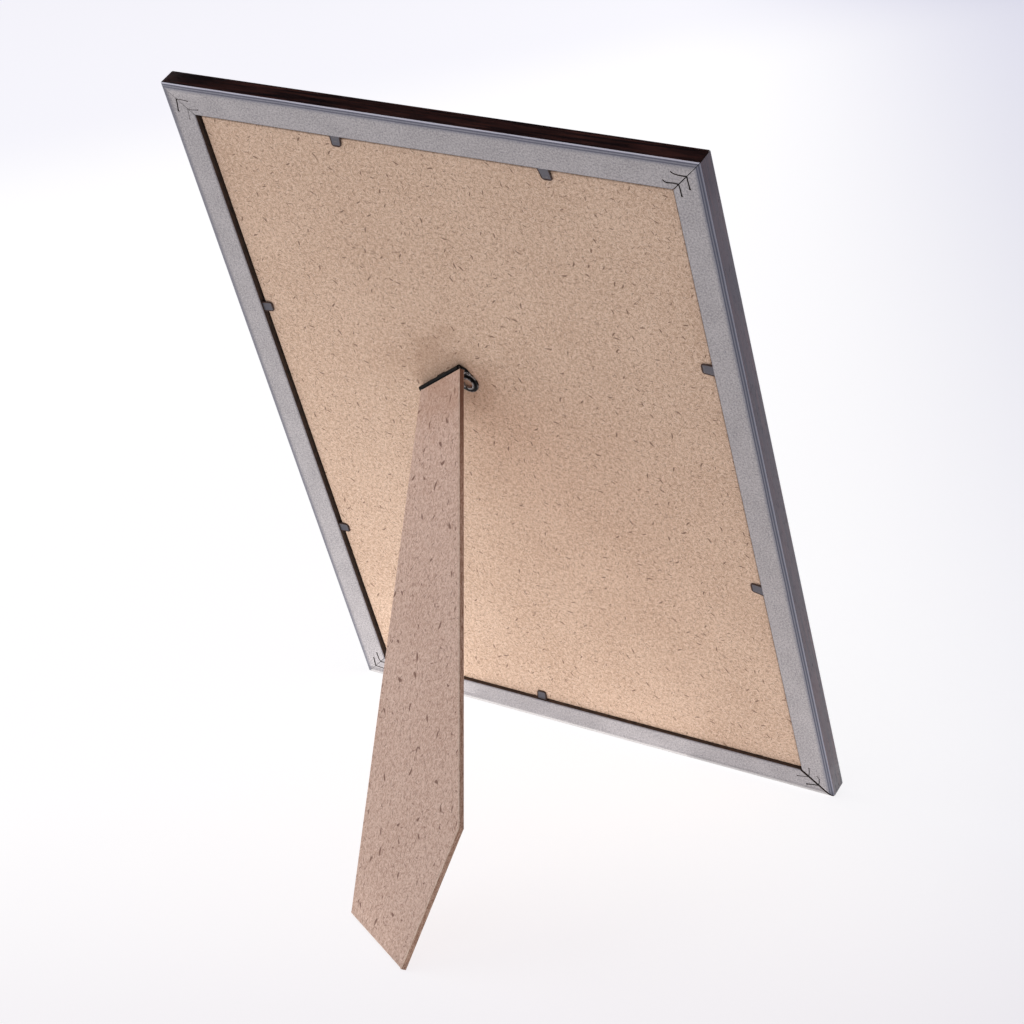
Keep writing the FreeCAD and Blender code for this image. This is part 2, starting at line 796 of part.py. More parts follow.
def make_pin():
    body = new_body("hinge_pin")
    half = size["hinge_length"] / 2 + size["pin_overhang"]
    radius = size["pin_radius"]
    dome = size["pin_overhang"]
    round_radius = (radius * radius + dome * dome) / (dome * 2)
    sketch = new_sketch(body, "pin_half_section", "XY_Plane")
    middle = -size["hinge_shift"]
    draw_outline(sketch, [
        Corner(middle - half, ZERO, round_radius),
        Corner(middle + half, ZERO),
        Corner(middle + half - dome, radius, round_radius),
        Corner(middle - half + dome, radius),
    ])
    turn = body.newObject("PartDesign::Revolution", "pin_turned")
    turn.Profile = sketch
    turn.ReferenceAxis = (sketch, ["H_Axis"])
    return body


def make_rivets():
    """Make the two rivets, each turned round its own axis and clinched inside the board."""
    body = new_body("hinge_rivets")
    shank = size["rivet_radius"]
    head_radius = size["rivet_head_radius"]
    head_top = leaf_top + size["rivet_head_height"]
    head_edge = leaf_top + size["rivet_head_edge"]
    crown = size["rivet_head_height"] - size["rivet_head_edge"]
    crown_radius = (head_radius * head_radius + crown * crown) / (crown * 2)
    flange_top = board_floor + size["rivet_flange_height"]
    sketch = new_sketch(body, "rivet_half_section", "XZ_Plane")
    draw_outline(sketch, [
        Corner(ZERO, board_floor),
        Corner(size["rivet_flange_radius"], board_floor),
        Corner(size["rivet_flange_radius"], flange_top),
        Corner(shank, flange_top),
        Corner(shank, leaf_top),
        Corner(head_radius, leaf_top),
        Corner(head_radius, head_edge),
        Corner(ZERO, head_top, crown_radius),
    ])
    turn = body.newObject("PartDesign::Revolution", "rivet_turned")
    turn.Profile = sketch
    turn.ReferenceAxis = (sketch, ["V_Axis"])
    add_pair(body, "other_rivet", [turn], "X_Axis", size["rivet_spacing"])
    return body


def make_strut():
    """Make the strut: flanks that widen to two foot cuts, and the slots for the prongs."""
    body = new_body("strut")
    top = -size["strut_top_drop"]
    sketch = new_sketch(body, "strut_outline", "XY_Plane")
    draw_outline(sketch, [
        Corner(-half_top, top),
        Corner(left_shoulder_x, left_shoulder_y),
        Corner(size["tip_offset"], -size["strut_length"]),
        Corner(right_shoulder_x, right_shoulder_y),
        Corner(half_top, top),
    ])
    body.Tip = add_pad(body, "strut_thickness", sketch, size["strut_thickness"])
    ease_faces(
        body, "strut_arris", "PartDesign::Chamfer", size["strut_arris"], (size["strut_thickness"],)
    )
    clearance = size["prong_clearance"]
    width = size["leaf_thickness"] + clearance * 2
    left_slot = -size["hinge_shift"] - size["prong_across"] / 2 - width / 2
    slots = new_sketch(body, "prong_slots", "YZ_Plane", left_slot)
    for row in range(2):
        draw_outline(slots, prong_corners(row, clearance))
    cut = add_pocket(body, "prong_slot_cut", slots, width)
    add_pair(body, "other_slots", [cut], "X_Axis", size["prong_across"])
    return body


def check_document():
    """Stop if any object failed, any shape is bad or any cut removed nothing."""
    for item in document.Objects:
        if {"Invalid", "Error"} & set(item.State):
            raise RuntimeError(f"{item.Label}: {item.State}")
        if item.TypeId == "PartDesign::Pocket":
            before = item.BaseFeature.Shape.Volume
            if not item.Shape.Volume < before:
                raise RuntimeError(f"{item.Label} cuts nothing")
    for label, body in bodies.items():
        if body.Shape.isNull() or not body.Shape.isValid():
            raise RuntimeError(f"{label} has no sound shape")


# Build every piece.
rail_lengths = {
    "bottom": outer_width,
    "right": outer_height,
    "top": outer_width,
    "left": outer_height,
}
inner_halves = {
    "bottom": rebate_width / 2,
    "right": rebate_height / 2,
    "top": rebate_width / 2,
    "left": rebate_height / 2,
}
nail_labels = {
    "bottom": "v_nails_bottom_left",
    "right": "v_nails_bottom_right",
    "top": "v_nails_top_right",
    "left": "v_nails_top_left",
}
tab_places = {
    label: inner_halves[side] * share for label, (side, share) in TAB_PLACE_SHARES.items()
}

bodies = {}
for side, length in rail_lengths.items():
    places = [tab_places[label] for label, (on, share) in TAB_PLACE_SHARES.items() if on == side]
    bodies[f"rail_{side}"] = make_rail(f"rail_{side}", length, places)
for label in nail_labels.values():
    bodies[label] = make_corner_nails(label)
for label in TAB_PLACE_SHARES:
    bodies[label] = make_tab(label)
bodies["glass_pane"] = make_glass()
bodies["picture_sheet"] = make_sheet()
bodies["backing_board"] = make_board()
bodies["hinge_board_leaf"] = make_board_leaf()
bodies["hinge_strut_leaf"] = make_strut_leaf()
bodies["hinge_pin"] = make_pin()
bodies["hinge_rivets"] = make_rivets()
bodies["strut"] = make_strut()
document.recompute()

# Place every piece on the upright frame, which then leans back on its arris.
lean = math.degrees(math.atan(upright_lean.value))
arris_lift = -size["back_arris_depth"].value * math.sin(math.radians(lean))
standing = Placement(Vector(0, 0, arris_lift), Rotation(X_AXIS, -lean))

panel = Placement(Vector(), Rotation(X_AXIS, 90))
half_width = outer_width.value / 2
half_height = outer_height.value / 2
rail_frames = {
    "bottom": panel,
    "right": Placement(Vector(half_width, 0, half_height), Rotation(Y_AXIS, -90)) * panel,
    "top": Placement(Vector(0, 0, outer_height.value), Rotation(Y_AXIS, 180)) * panel,
    "left": Placement(Vector(-half_width, 0, half_height), Rotation(Y_AXIS, 90)) * panel,
}
pin_direction = Vector(-hinge_cosine.value, 0, hinge_sine.value)
strut_direction = Vector(hinge_sine.value, 0, hinge_cosine.value)
hinge = Placement(
    Vector(hinge_x.value, pin_height.value, hinge_z.value),
    Rotation(pin_direction, strut_direction, Y_AXIS, "XYZ"),
)
opened = hinge * Placement(Vector(), Rotation(X_AXIS, -size["open_angle"].value))

frames = {
    "glass_pane": panel,
    "picture_sheet": panel,
    "backing_board": panel,
    "hinge_board_leaf": hinge,
    "hinge_pin": hinge,
    "hinge_rivets": hinge * Placement(
        Vector(rivet_x.value, -size["rivet_drop"].value, 0), Rotation()
    ),
    "hinge_strut_leaf": opened,
    "strut": opened,
}
for side, length in rail_lengths.items():
    frames[f"rail_{side}"] = rail_frames[side]
    start = Placement(Vector(-length.value / 2, 0, 0), Rotation())
    frames[nail_labels[side]] = rail_frames[side] * start
for label, (side, share) in TAB_PLACE_SHARES.items():
    along = Placement(Vector(tab_places[label].value, 0, 0), Rotation())
    frames[label] = rail_frames[side] * along

for label, body in bodies.items():
    body.Placement = standing * frames[label]
document.recompute()
check_document()

# Bring the middle of the whole over the origin.
whole = FreeCAD.BoundBox()
for body in bodies.values():
    whole.add(body.Shape.optimalBoundingBox(False))
standing.Base = standing.Base - Vector(whole.Center.x, whole.Center.y, 0)
for label, body in bodies.items():
    body.Placement = standing * frames[label]
document.recompute()
check_document()

os.makedirs("parts", exist_ok=True)
for label, body in bodies.items():
    body.Shape.exportStep(f"parts/{label}.step")

# Where the joint and the mounts lie.
ear_centre = standing * hinge * Vector(ear_x.value, -size["ear_drop"].value, leaf_top.value)
back_centre = standing * rail_frames["top"] * Vector(0, size["rail_width"].value / 2, 0)
print("pieces", sum(len(body.Shape.Solids) for body in bodies.values()))
print("lean", lean, "sideways lean", math.degrees(math.atan(sideways_lean.value)))
print("size", whole.XLength, whole.YLength, whole.ZLength, "lowest", whole.ZMin)
print("pin point", standing * hinge.Base)
print("pin direction", standing.Rotation * pin_direction)
print("back normal", standing.Rotation * Y_AXIS)
print("back centre", back_centre)
print("hanger hole", ear_centre)
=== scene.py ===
import json
import logging
import math
from dataclasses import dataclass, field
from enum import Enum

import bmesh
import bpy
from mathutils import Matrix, Vector, geometry, noise


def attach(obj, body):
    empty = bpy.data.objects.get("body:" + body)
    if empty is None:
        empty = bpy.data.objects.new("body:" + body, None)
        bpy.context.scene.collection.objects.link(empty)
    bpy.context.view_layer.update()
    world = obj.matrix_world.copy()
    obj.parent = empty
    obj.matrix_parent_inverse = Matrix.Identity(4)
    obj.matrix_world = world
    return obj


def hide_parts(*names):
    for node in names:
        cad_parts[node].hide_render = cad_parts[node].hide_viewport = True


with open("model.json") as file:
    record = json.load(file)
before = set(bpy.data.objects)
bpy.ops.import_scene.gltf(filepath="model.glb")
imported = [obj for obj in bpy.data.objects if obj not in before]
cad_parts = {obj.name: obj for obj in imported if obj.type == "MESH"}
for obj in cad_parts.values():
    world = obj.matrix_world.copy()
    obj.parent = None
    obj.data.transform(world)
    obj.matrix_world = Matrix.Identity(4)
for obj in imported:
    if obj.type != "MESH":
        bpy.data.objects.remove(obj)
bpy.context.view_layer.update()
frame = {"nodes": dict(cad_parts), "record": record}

# Looks of a leaning photo frame, seen from behind: foil-wrapped moulding with a painted back,
# hardboard back and strut, blued retaining tabs and a black strut hinge.
#
# Lengths are in metres. The upright frame has X to the right seen from the front, Y out of the back
# with the back at 0, and Z up from the bottom edge. A rail's own place is (along, across, deep):
# along the rail, in from its outer side, and deep from the back.

LOG = logging.getLogger("photo_frame")
MM = 0.001
SHARP = 32.0  # degrees; an edge that turns by more stays sharp

Colour = tuple[float, float, float, float]
Pair = tuple[float, float]
Triple = tuple[float, float, float]
Socket = bpy.types.NodeSocket


def pigment(red: int, green: int, blue: int) -> Colour:
    """Return the scene colour of a display colour.

    Args:
        red: display level from 0 to 255.
        green: display level from 0 to 255.
        blue: display level from 0 to 255.

    Returns:
        The colour in linear light, with full alpha.
    """
    linear = []
    for level in (red, green, blue):
        share = level / 255
        linear.append(share / 12.92 if share <= 0.04045 else ((share + 0.055) / 1.055) ** 2.4)
    return linear[0], linear[1], linear[2], 1.0


def ease(share: float) -> float:
    """Return a smooth step from 0 to 1 for a share from 0 to 1."""
    share = min(max(share, 0.0), 1.0)
    return share * share * (3 - 2 * share)


def arc(centre: Pair, radius: float, start: float, finish: float, steps: int) -> list[Pair]:
    """Return points on an arc.

    Args:
        centre: the arc's centre.
        radius: its radius.
        start: the first angle in degrees.
        finish: the last angle in degrees.
        steps: how many straight steps stand for it.

    Returns:
        The points from start to finish, both ends included.
    """
    points = []
    for step in range(steps + 1):
        angle = math.radians(start + (finish - start) * step / steps)
        points.append((centre[0] + radius * math.cos(angle), centre[1] + radius * math.sin(angle)))
    return points


class Side(Enum):
    """The rails, in the order in which they follow each other round the frame."""

    BOTTOM = "bottom"
    RIGHT = "right"
    TOP = "top"
    LEFT = "left"

    @property
    def turn(self) -> float:
        """How far the rail is turned from the bottom one, about the way out of the back."""
        turns = {"bottom": 0.0, "right": -90.0, "top": 180.0, "left": 90.0}
        return math.radians(turns[self.value])

    @property
    def level(self) -> bool:
        """Whether the rail lies level in the standing frame."""
        return self in (Side.BOTTOM, Side.TOP)


@dataclass(frozen=True)
class Stance:
    """Where the upright frame stands, leaned back, and where the strut's hinge is."""

    upright: Matrix
    hinge: Matrix
    opened: Matrix
    width: float
    height: float

    @classmethod
    def from_record(cls, record: dict, nodes: dict) -> "Stance":
        """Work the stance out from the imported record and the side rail's vertices.

        Args:
            record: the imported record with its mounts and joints.
            nodes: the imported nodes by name.

        Returns:
            The stance.
        """
        back = next(mount for mount in record["mounts"] if mount["name"] == "back_face")
        out = Vector(back["axis"]).normalized()
        turn = Matrix((Vector((1, 0, 0)), out, Vector((1, 0, 0)).cross(out))).transposed()
        rail = [turn.transposed() @ vertex.co for vertex in nodes["rail_right"].data.vertices]
        top_rail = [turn.transposed() @ vertex.co for vertex in nodes["rail_top"].data.vertices]
        lowest = min(point.z for point in rail)
        height = max(point.z for point in rail) - lowest
        width = max(point.x for point in top_rail) - min(point.x for point in top_rail)
        back_y = max(point.y for point in rail)
        upright = turn.to_4x4() @ Matrix.Translation((0, back_y, lowest))
        joint = record["behaviour"]["joints"][0]
        pin = Vector(joint["axis"]).normalized()
        up = out.cross(pin)
        hinge_turn = Matrix((pin, up, out)).transposed().to_4x4()
        hinge = Matrix.Translation(joint["pos_m"]) @ hinge_turn
        swing = Matrix.Rotation(-math.radians(joint["range_deg"][1]), 4, "X")
        return cls(upright, hinge, hinge @ swing, width, height)

    def rail_place(self, side: Side) -> Matrix:
        """Return where a rail lies.

        Args:
            side: the rail.

        Returns:
            The matrix from the rail's own place to the model's frame.
        """
        offsets = {
            Side.BOTTOM: (0, 0, 0),
            Side.RIGHT: (self.width / 2, 0, self.height / 2),
            Side.TOP: (0, 0, self.height),
            Side.LEFT: (-self.width / 2, 0, self.height / 2),
        }
        turn = Matrix.Rotation(side.turn, 4, "Y") @ Matrix.Rotation(math.radians(90), 4, "X")
        return self.upright @ Matrix.Translation(offsets[side]) @ turn

    def rail_length(self, side: Side) -> float:
        """Return the rail's outer length."""
        return self.width if side.level else self.height


class Bench:
    """Adds and links the nodes of one tree."""

    def __init__(self, tree: bpy.types.NodeTree) -> None:
        """Keep the tree."""
        self.tree = tree

    def add(self, kind: str, **settings: object) -> bpy.types.Node:
        """Add a node and set its plain settings.

        Args:
            kind: the node's type.
            settings: names and values of its settings.

        Returns:
            The node.
        """
        node = self.tree.nodes.new(kind)
        for name, value in settings.items():
            setattr(node, name, value)
        return node

    def feed(self, socket: Socket, source: object) -> None:
        """Link a socket to a source, or set its plain value.

        Args:
            socket: the input.
            source: another node's output or a plain value.
        """
        if isinstance(source, bpy.types.NodeSocket):
            self.tree.links.new(source, socket)
        else:
            socket.default_value = source

    def math(self, operation: str, *values: object) -> Socket:
        """Return the result of a Math node.

        Args:
            operation: what it does.
            values: up to three values.

        Returns:
            The result.
        """
        node = self.add("ShaderNodeMath", operation=operation)
        for socket, value in zip(node.inputs, values):
            self.feed(socket, value)
        return node.outputs[0]

    def times(self, first: object, second: object) -> Socket:
        """Return the product of two values."""
        return self.math("MULTIPLY", first, second)

    def plus(self, first: object, second: object) -> Socket:
        """Return the sum of two values."""
        return self.math("ADD", first, second)

    def less(self, first: object, second: object) -> Socket:
        """Return the first value less the second."""
        return self.math("SUBTRACT", first, second)

    def vector(self, operation: str, *values: object) -> Socket:
        """Return the vector that a Vector Math node makes.

        Args:
            operation: what it does.
            values: its inputs.

        Returns:
            The vector.
        """
        node = self.add("ShaderNodeVectorMath", operation=operation)
        for socket, value in zip(node.inputs, values):
            self.feed(socket, value)
        return node.outputs["Vector"]

    def scaled(self, vector: object, factors: Triple) -> Socket:
        """Return the vector with each of its parts multiplied."""
        return self.vector("MULTIPLY", vector, factors)

    def distance(self, point: Vector) -> Socket:
        """Return how far the shaded point is from a point of the model's frame.

        Args:
            point: the point.

        Returns:
            The distance in metres.
        """
        node = self.add("ShaderNodeVectorMath", operation="DISTANCE")
        self.feed(node.inputs[0], self.add("ShaderNodeTexCoord").outputs["Object"])
        self.feed(node.inputs[1], point)
        return node.outputs["Value"]

    def parts(self, vector: object) -> tuple[Socket, Socket, Socket]:
        """Return a vector's X, Y and Z.

        Args:
            vector: the vector.

        Returns:
            Its three parts.
        """
        node = self.add("ShaderNodeSeparateXYZ")
        self.feed(node.inputs[0], vector)
        return node.outputs[0], node.outputs[1], node.outputs[2]

    def joined(self, x: object, y: object, z: object) -> Socket:
        """Return a vector made of three values.

        Args:
            x: its X.
            y: its Y.
            z: its Z.

        Returns:
            The vector.
        """
        node = self.add("ShaderNodeCombineXYZ")
        for socket, value in zip(node.inputs, (x, y, z)):
            self.feed(socket, value)
        return node.outputs[0]

    def step(self, value: object, low: object, high: object, first: float = 0.0,
             last: float = 1.0) -> Socket:
        """Return a smooth step of a value.

        Args:
            value: what is mapped.
            low: where the step starts.
            high: where it ends.
            first: the result below low.
            last: the result above high.

        Returns:
            The mapped value.
        """
        node = self.add("ShaderNodeMapRange", interpolation_type="SMOOTHSTEP")
        for name, source in (("Value", value), ("From Min", low), ("From Max", high),
                             ("To Min", first), ("To Max", last)):
            self.feed(node.inputs[name], source)
        return node.outputs["Result"]

    def noise(self, vector: object, size: float, detail: float = 2.0, rough: float = 0.5,
              flat: bool = False) -> Socket:
        """Return a noise about 0.5.

        Args:
            vector: the place in metres.
            size: the noise's wavelength in metres.
            detail: how many finer octaves it has.
            rough: how strong the finer ones are.
            flat: whether only X and Y count.

        Returns:
            The noise value.
        """
        node = self.add("ShaderNodeTexNoise", noise_dimensions="2D" if flat else "3D")
        self.feed(node.inputs["Vector"], vector)
        self.feed(node.inputs["Scale"], 1 / size)
        self.feed(node.inputs["Detail"], detail)
        self.feed(node.inputs["Roughness"], rough)
        return node.outputs[0]

    def mix(self, factor: object, first: object, second: object,
            blend: str = "MIX") -> Socket:
        """Return a mix of two colours.

        Args:
            factor: how much of the second there is.
            first: the colour below.
            second: the colour above.
            blend: how they mix.

        Returns:
            The mixed colour.
        """
        node = self.add("ShaderNodeMix", data_type="RGBA", blend_type=blend)
        self.feed(node.inputs[0], factor)
        self.feed(node.inputs[6], first)
        self.feed(node.inputs[7], second)
        return node.outputs[2]

    def bump(self, height: object, depth: float) -> Socket:
        """Return a raised normal.

        Args:
            height: the height, from 0 to 1.
            depth: how deep a height of 1 is, in metres.

        Returns:
            The normal.
        """
        node = self.add("ShaderNodeBump")
        node.inputs["Strength"].default_value = 1.0
        node.inputs["Distance"].default_value = depth
        self.feed(node.inputs["Height"], height)
        return node.outputs[0]

    def place(self, matrix: Matrix) -> Socket:
        """Return the shaded point in a local frame.

        Args:
            matrix: from the local frame to the model's frame, without scale.

        Returns:
            The point in the local frame, in metres.
        """
        inverse = matrix.inverted()
        point = self.add("ShaderNodeTexCoord").outputs["Object"]
        node = self.add("ShaderNodeMapping", vector_type="POINT")
        self.feed(node.inputs["Vector"], point)
        node.inputs["Location"].default_value = inverse.translation
        node.inputs["Rotation"].default_value = inverse.to_euler("XYZ")
        return node.outputs[0]

    def group(self, tree: bpy.types.NodeTree, **inputs: object) -> bpy.types.Node:
        """Add a shader group.

        Args:
            tree: the group's tree.
            inputs: what feeds each of its inputs, by name.

        Returns:
            The group's node.
        """
        node = self.add("ShaderNodeGroup", node_tree=tree)
        for name, source in inputs.items():
            self.feed(node.inputs[name], source)
        return node


def new_group(name: str, inputs: dict[str, tuple], outputs: tuple[str, ...]) -> tuple[
        bpy.types.NodeTree, Bench, bpy.types.Node, bpy.types.Node]:
    """Start a shader group of values.

    Args:
        name: the group's name.
        inputs: each input's name with its socket type and default.
        outputs: names of its value outputs.

    Returns:
        The tree, its bench, its input node and its output node.
    """
    tree = bpy.data.node_groups.new(name, "ShaderNodeTree")
    for label, (kind, default) in inputs.items():
        socket = tree.interface.new_socket(label, in_out="INPUT", socket_type=kind)
        socket.default_value = default
    for label in outputs:
        tree.interface.new_socket(label, in_out="OUTPUT", socket_type="NodeSocketFloat")
    bench = Bench(tree)
    return tree, bench, bench.add("NodeGroupInput"), bench.add("NodeGroupOutput")


class Effects:
    """Shader groups that several finishes use, each built once."""

    def __init__(self) -> None:
        """Build the groups."""
        self.fibres = self._build_fibres()
        self.grain = self._build_grain()

    @staticmethod
    def _build_fibres() -> bpy.types.NodeTree:
        """Build short fibres that lie scattered at all angles on a flat place.

        Returns:
            The group's tree.
        """
        tree, bench, given, made = new_group(
            "scattered fibres",
            {
                "Place": ("NodeSocketVector", (0.0, 0.0, 0.0)),
                "Cell": ("NodeSocketFloat", 0.004),
                "Long": ("NodeSocketFloat", 0.3),
                "Wide": ("NodeSocketFloat", 0.06),
                "Share": ("NodeSocketFloat", 0.5),
            },
            ("Mask",),
        )
        wanted = given.outputs
        cell = bench.math("DIVIDE", 1.0, wanted["Cell"])
        scale = bench.joined(cell, cell, cell)
        place = bench.vector("MULTIPLY", wanted["Place"], scale)
        cells = bench.add("ShaderNodeTexVoronoi", voronoi_dimensions="2D", feature="F1")
        bench.feed(cells.inputs["Vector"], place)
        bench.feed(cells.inputs["Scale"], 1.0)
        chance = bench.add("ShaderNodeSeparateColor")
        bench.feed(chance.inputs[0], cells.outputs["Color"])
        offset = bench.vector("SUBTRACT", place, cells.outputs["Position"])
        turned = bench.add("ShaderNodeVectorRotate", rotation_type="Z_AXIS")
        bench.feed(turned.inputs["Vector"], offset)
        bench.feed(turned.inputs["Angle"], bench.times(chance.outputs[0], math.tau))
        along, across = bench.parts(turned.outputs[0])[:2]
        size_spread, smallest, bow = 0.8, 0.35, 0.6
        size = bench.math("MULTIPLY_ADD", chance.outputs[2], size_spread, smallest)
        along = bench.math("DIVIDE", along, bench.times(wanted["Long"], size))
        curl = bench.times(bench.times(along, along), bow)
        across = bench.math("DIVIDE", across, bench.times(wanted["Wide"], size))
        across = bench.plus(across, curl)
        square = bench.plus(bench.times(along, along), bench.times(across, across))
        reach = bench.math("SQRT", square)
        shape = bench.step(reach, 0.55, 1.15, 1.0, 0.0)
        present = bench.math("LESS_THAN", chance.outputs[1], wanted["Share"])
        bench.feed(made.inputs["Mask"], bench.times(shape, present))
        return tree

    @staticmethod
    def _build_grain() -> bpy.types.NodeTree:
        """Build a wood's lengthwise streaks and short open pores, with X along the grain.

        Returns:
            The group's tree.
        """
        tree, bench, given, made = new_group(
            "lengthwise grain",
            {"Place": ("NodeSocketVector", (0.0, 0.0, 0.0))},
            ("Streaks", "Pores"),
        )
        place = given.outputs["Place"]
        sway = bench.noise(bench.scaled(place, (0.3, 1.0, 1.0)), 12 * MM)
        aside = bench.joined(0.0, bench.times(sway, 1.6 * MM), 0.0)
        swayed = bench.vector("ADD", place, aside)
        streaks = bench.noise(bench.scaled(swayed, (0.03, 1.0, 1.0)), 0.9 * MM, 3.0, 0.6)
        pores = bench.noise(bench.scaled(swayed, (0.09, 1.0, 1.0)), 0.28 * MM, 1.0, 0.4)
        bench.feed(made.inputs["Streaks"], streaks)
        bench.feed(made.inputs["Pores"], bench.step(pores, 0.58, 0.7))
        return tree


class Surface(Bench):
    """Adds the nodes of one finish and feeds its shader."""

    def __init__(self, material: bpy.types.Material, effects: Effects) -> None:
        """Keep the material's shader and the shared shader groups.

        Args:
            material: the finish's material.
            effects: the shared shader groups.
        """
        super().__init__(material.node_tree)
        self.shader = material.node_tree.nodes["Principled BSDF"]
        self.effects = effects

    def coat(self, name: str, source: object) -> None:
        """Feed one of the shader's inputs."""
        self.feed(self.shader.inputs[name], source)


class Finish:
    """A surface that is mixed once and then laid on any piece."""

    label: str

    def material(self, effects: Effects) -> bpy.types.Material:
        """Return the finish's material, mixing it the first time.

        Args:
            effects: the shared shader groups.

        Returns:
            The material.
        """
        found = bpy.data.materials.get(self.label)
        if found is not None:
            return found
        made = bpy.data.materials.new(self.label)
        made.use_nodes = True
        self.mix(Surface(made, effects))
        return made

    def mix(self, bench: Surface) -> None:
        """Lay the nodes that give the finish its colour, gloss and relief.

        Args:
            bench: the finish's nodes.
        """
        raise NotImplementedError


@dataclass(frozen=True)
class FibreLayer:
    """One sort of scattered fibre, one to a cell at most; its sizes are shares of the cell."""

    shift: Pair
    cell: float
    long: float
    wide: float
    share: float
    strength: float
    tint: Colour
    relief: float = 0.0


@dataclass(frozen=True)
class Hardboard(Finish):
    """Pressed fibre board: tan ground, felted fibre and scattered darker slivers."""

    label: str
    place: Matrix
    upright_plane: bool
    pale: Colour
    deep: Colour
    light: Colour
    sliver: Colour
    sliver_share: float
    sliver_cell: float
    # Colour and centre of the brown patch by the hinge, partly staining and partly painted shade
    stain_and_shade: Colour
    stain_and_shade_centre: Vector
    drawn: float = 1.0
    sliver_wide: float = 0.055

    def layers(self) -> tuple[FibreLayer, ...]:
        """Return the dark hairs, pale hairs, flecks and large slivers, from the lowest up.

        Returns:
            The layers.
        """
        cell, share = self.sliver_cell, self.sliver_share
        return (
            FibreLayer((0.0, 0.0), 1.6 * MM, 0.62, 0.1, 0.9, 0.36, self.sliver),
            FibreLayer((0.31, 0.17), 1.9 * MM, 0.6, 0.1, 0.85, 0.62, self.light),
            FibreLayer((0.77, 0.53), cell, 0.42, 0.095, share, 0.52, self.sliver, 0.5),
            FibreLayer((0.13, 0.91), cell * 2.6, 0.22, self.sliver_wide, share, 0.8, self.sliver),
        )

    def mix(self, bench: Surface) -> None:
        """Lay mottling, felted fibre, slivers and a brown patch by the hinge over the tan.

        The patch is partly staining and partly painted shade.

        Args:
            bench: the finish's nodes.
        """
        x, y, z = bench.parts(bench.place(self.place))
        flat = bench.joined(x, z, 0.0) if self.upright_plane else bench.joined(x, y, 0.0)
        flat = bench.scaled(flat, (1.0, self.drawn, 1.0))
        cloud = bench.noise(flat, 30 * MM, 2.0, 0.5, flat=True)
        felt = bench.noise(flat, 1.6 * MM, 4.0, 0.75, flat=True)
        fine = bench.noise(flat, 0.6 * MM, 2.0, 0.6, flat=True)
        tone = bench.plus(bench.times(cloud, 0.16), felt)
        tone = bench.plus(tone, bench.times(fine, 0.84))
        ground = bench.mix(bench.step(tone, 0.8, 1.2), self.deep, self.pale)
        relief = felt
        for layer in self.layers():
            fibres = bench.group(
                bench.effects.fibres, Place=bench.vector("ADD", flat, (*layer.shift, 0.0)),
                Cell=layer.cell, Long=layer.long, Wide=layer.wide, Share=layer.share,
            ).outputs["Mask"]
            ground = bench.mix(bench.times(fibres, layer.strength), ground, layer.tint)
            if layer.relief:
                relief = bench.less(relief, bench.times(fibres, layer.relief))
        blots = bench.step(bench.noise(flat, 5.5 * MM, 2.0, 0.6, flat=True), 0.72, 0.8, 0.0, 0.3)
        ground = bench.mix(blots, ground, self.sliver)
        # A brown patch round the hinge: partly staining, partly painted shade
        ragged = bench.noise(flat, 9 * MM, 3.0, 0.6, flat=True)
        reach = bench.math("MULTIPLY_ADD", ragged, 40 * MM, bench.distance(self.stain_and_shade_centre))
        ground = bench.mix(bench.step(reach, 26 * MM, 50 * MM, 0.38, 0.0), ground, self.stain_and_shade)
        bench.coat("Base Color", ground)
        bench.coat("Roughness", bench.step(felt, 0.3, 0.7, 0.62, 0.85))
        bench.coat("Normal", bench.bump(relief, 0.06 * MM))
        bench.coat("Specular IOR Level", 0.3)


@dataclass(frozen=True)
class SawnEdge(Finish):
    """Sawn hardboard edge: darker, with layers and torn fibre, and painted shade by the hinge."""

    label: str
    place: Matrix
    colour: Colour
    dark: Colour
    # Colour of the painted shade by the hinge; share is its strength
    painted_shade: Colour
    share: float
    hinge: Vector

    def mix(self, bench: Surface) -> None:
        """Lay layers across the thickness and torn fibre, with painted shade towards the hinge.

        Args:
            bench: the finish's nodes.
        """
        place = bench.place(self.place)
        layers = bench.noise(bench.scaled(place, (0.12, 0.12, 1.0)), 0.35 * MM, 2.0, 0.5)
        torn = bench.noise(place, 0.5 * MM, 3.0, 0.65)
        tone = bench.plus(bench.times(layers, 0.5), bench.times(torn, 0.5))
        # Painted shade, strongest by the hinge, where the strut lies close to the board
        painted_shade = bench.step(bench.distance(self.hinge), 12 * MM, 70 * MM, self.share, 0.0)
        ground = bench.mix(bench.step(tone, 0.34, 0.66), self.dark, self.colour)
        bench.coat("Base Color", bench.mix(painted_shade, ground, self.painted_shade))
        bench.coat("Roughness", 0.85)
        bench.coat("Specular IOR Level", 0.2)
        bench.coat("Normal", bench.bump(torn, 0.12 * MM))


@dataclass(frozen=True)
class PaintedArrisLight:
    """Painted light and shade along a rail's outer arris, set differently for each rail.

    The first three are strengths: of a painted shade band with two fine dark lines, of a dark
    painted shade at the outer edge and of painted light at the edge, which reaches in as far
    as reach. The edge colour is the painted light's colour.
    """

    # turned is the painted shade band with its lines, pale the painted light
    turned: float
    rim: float
    pale: float
    reach: float
    edge: Colour


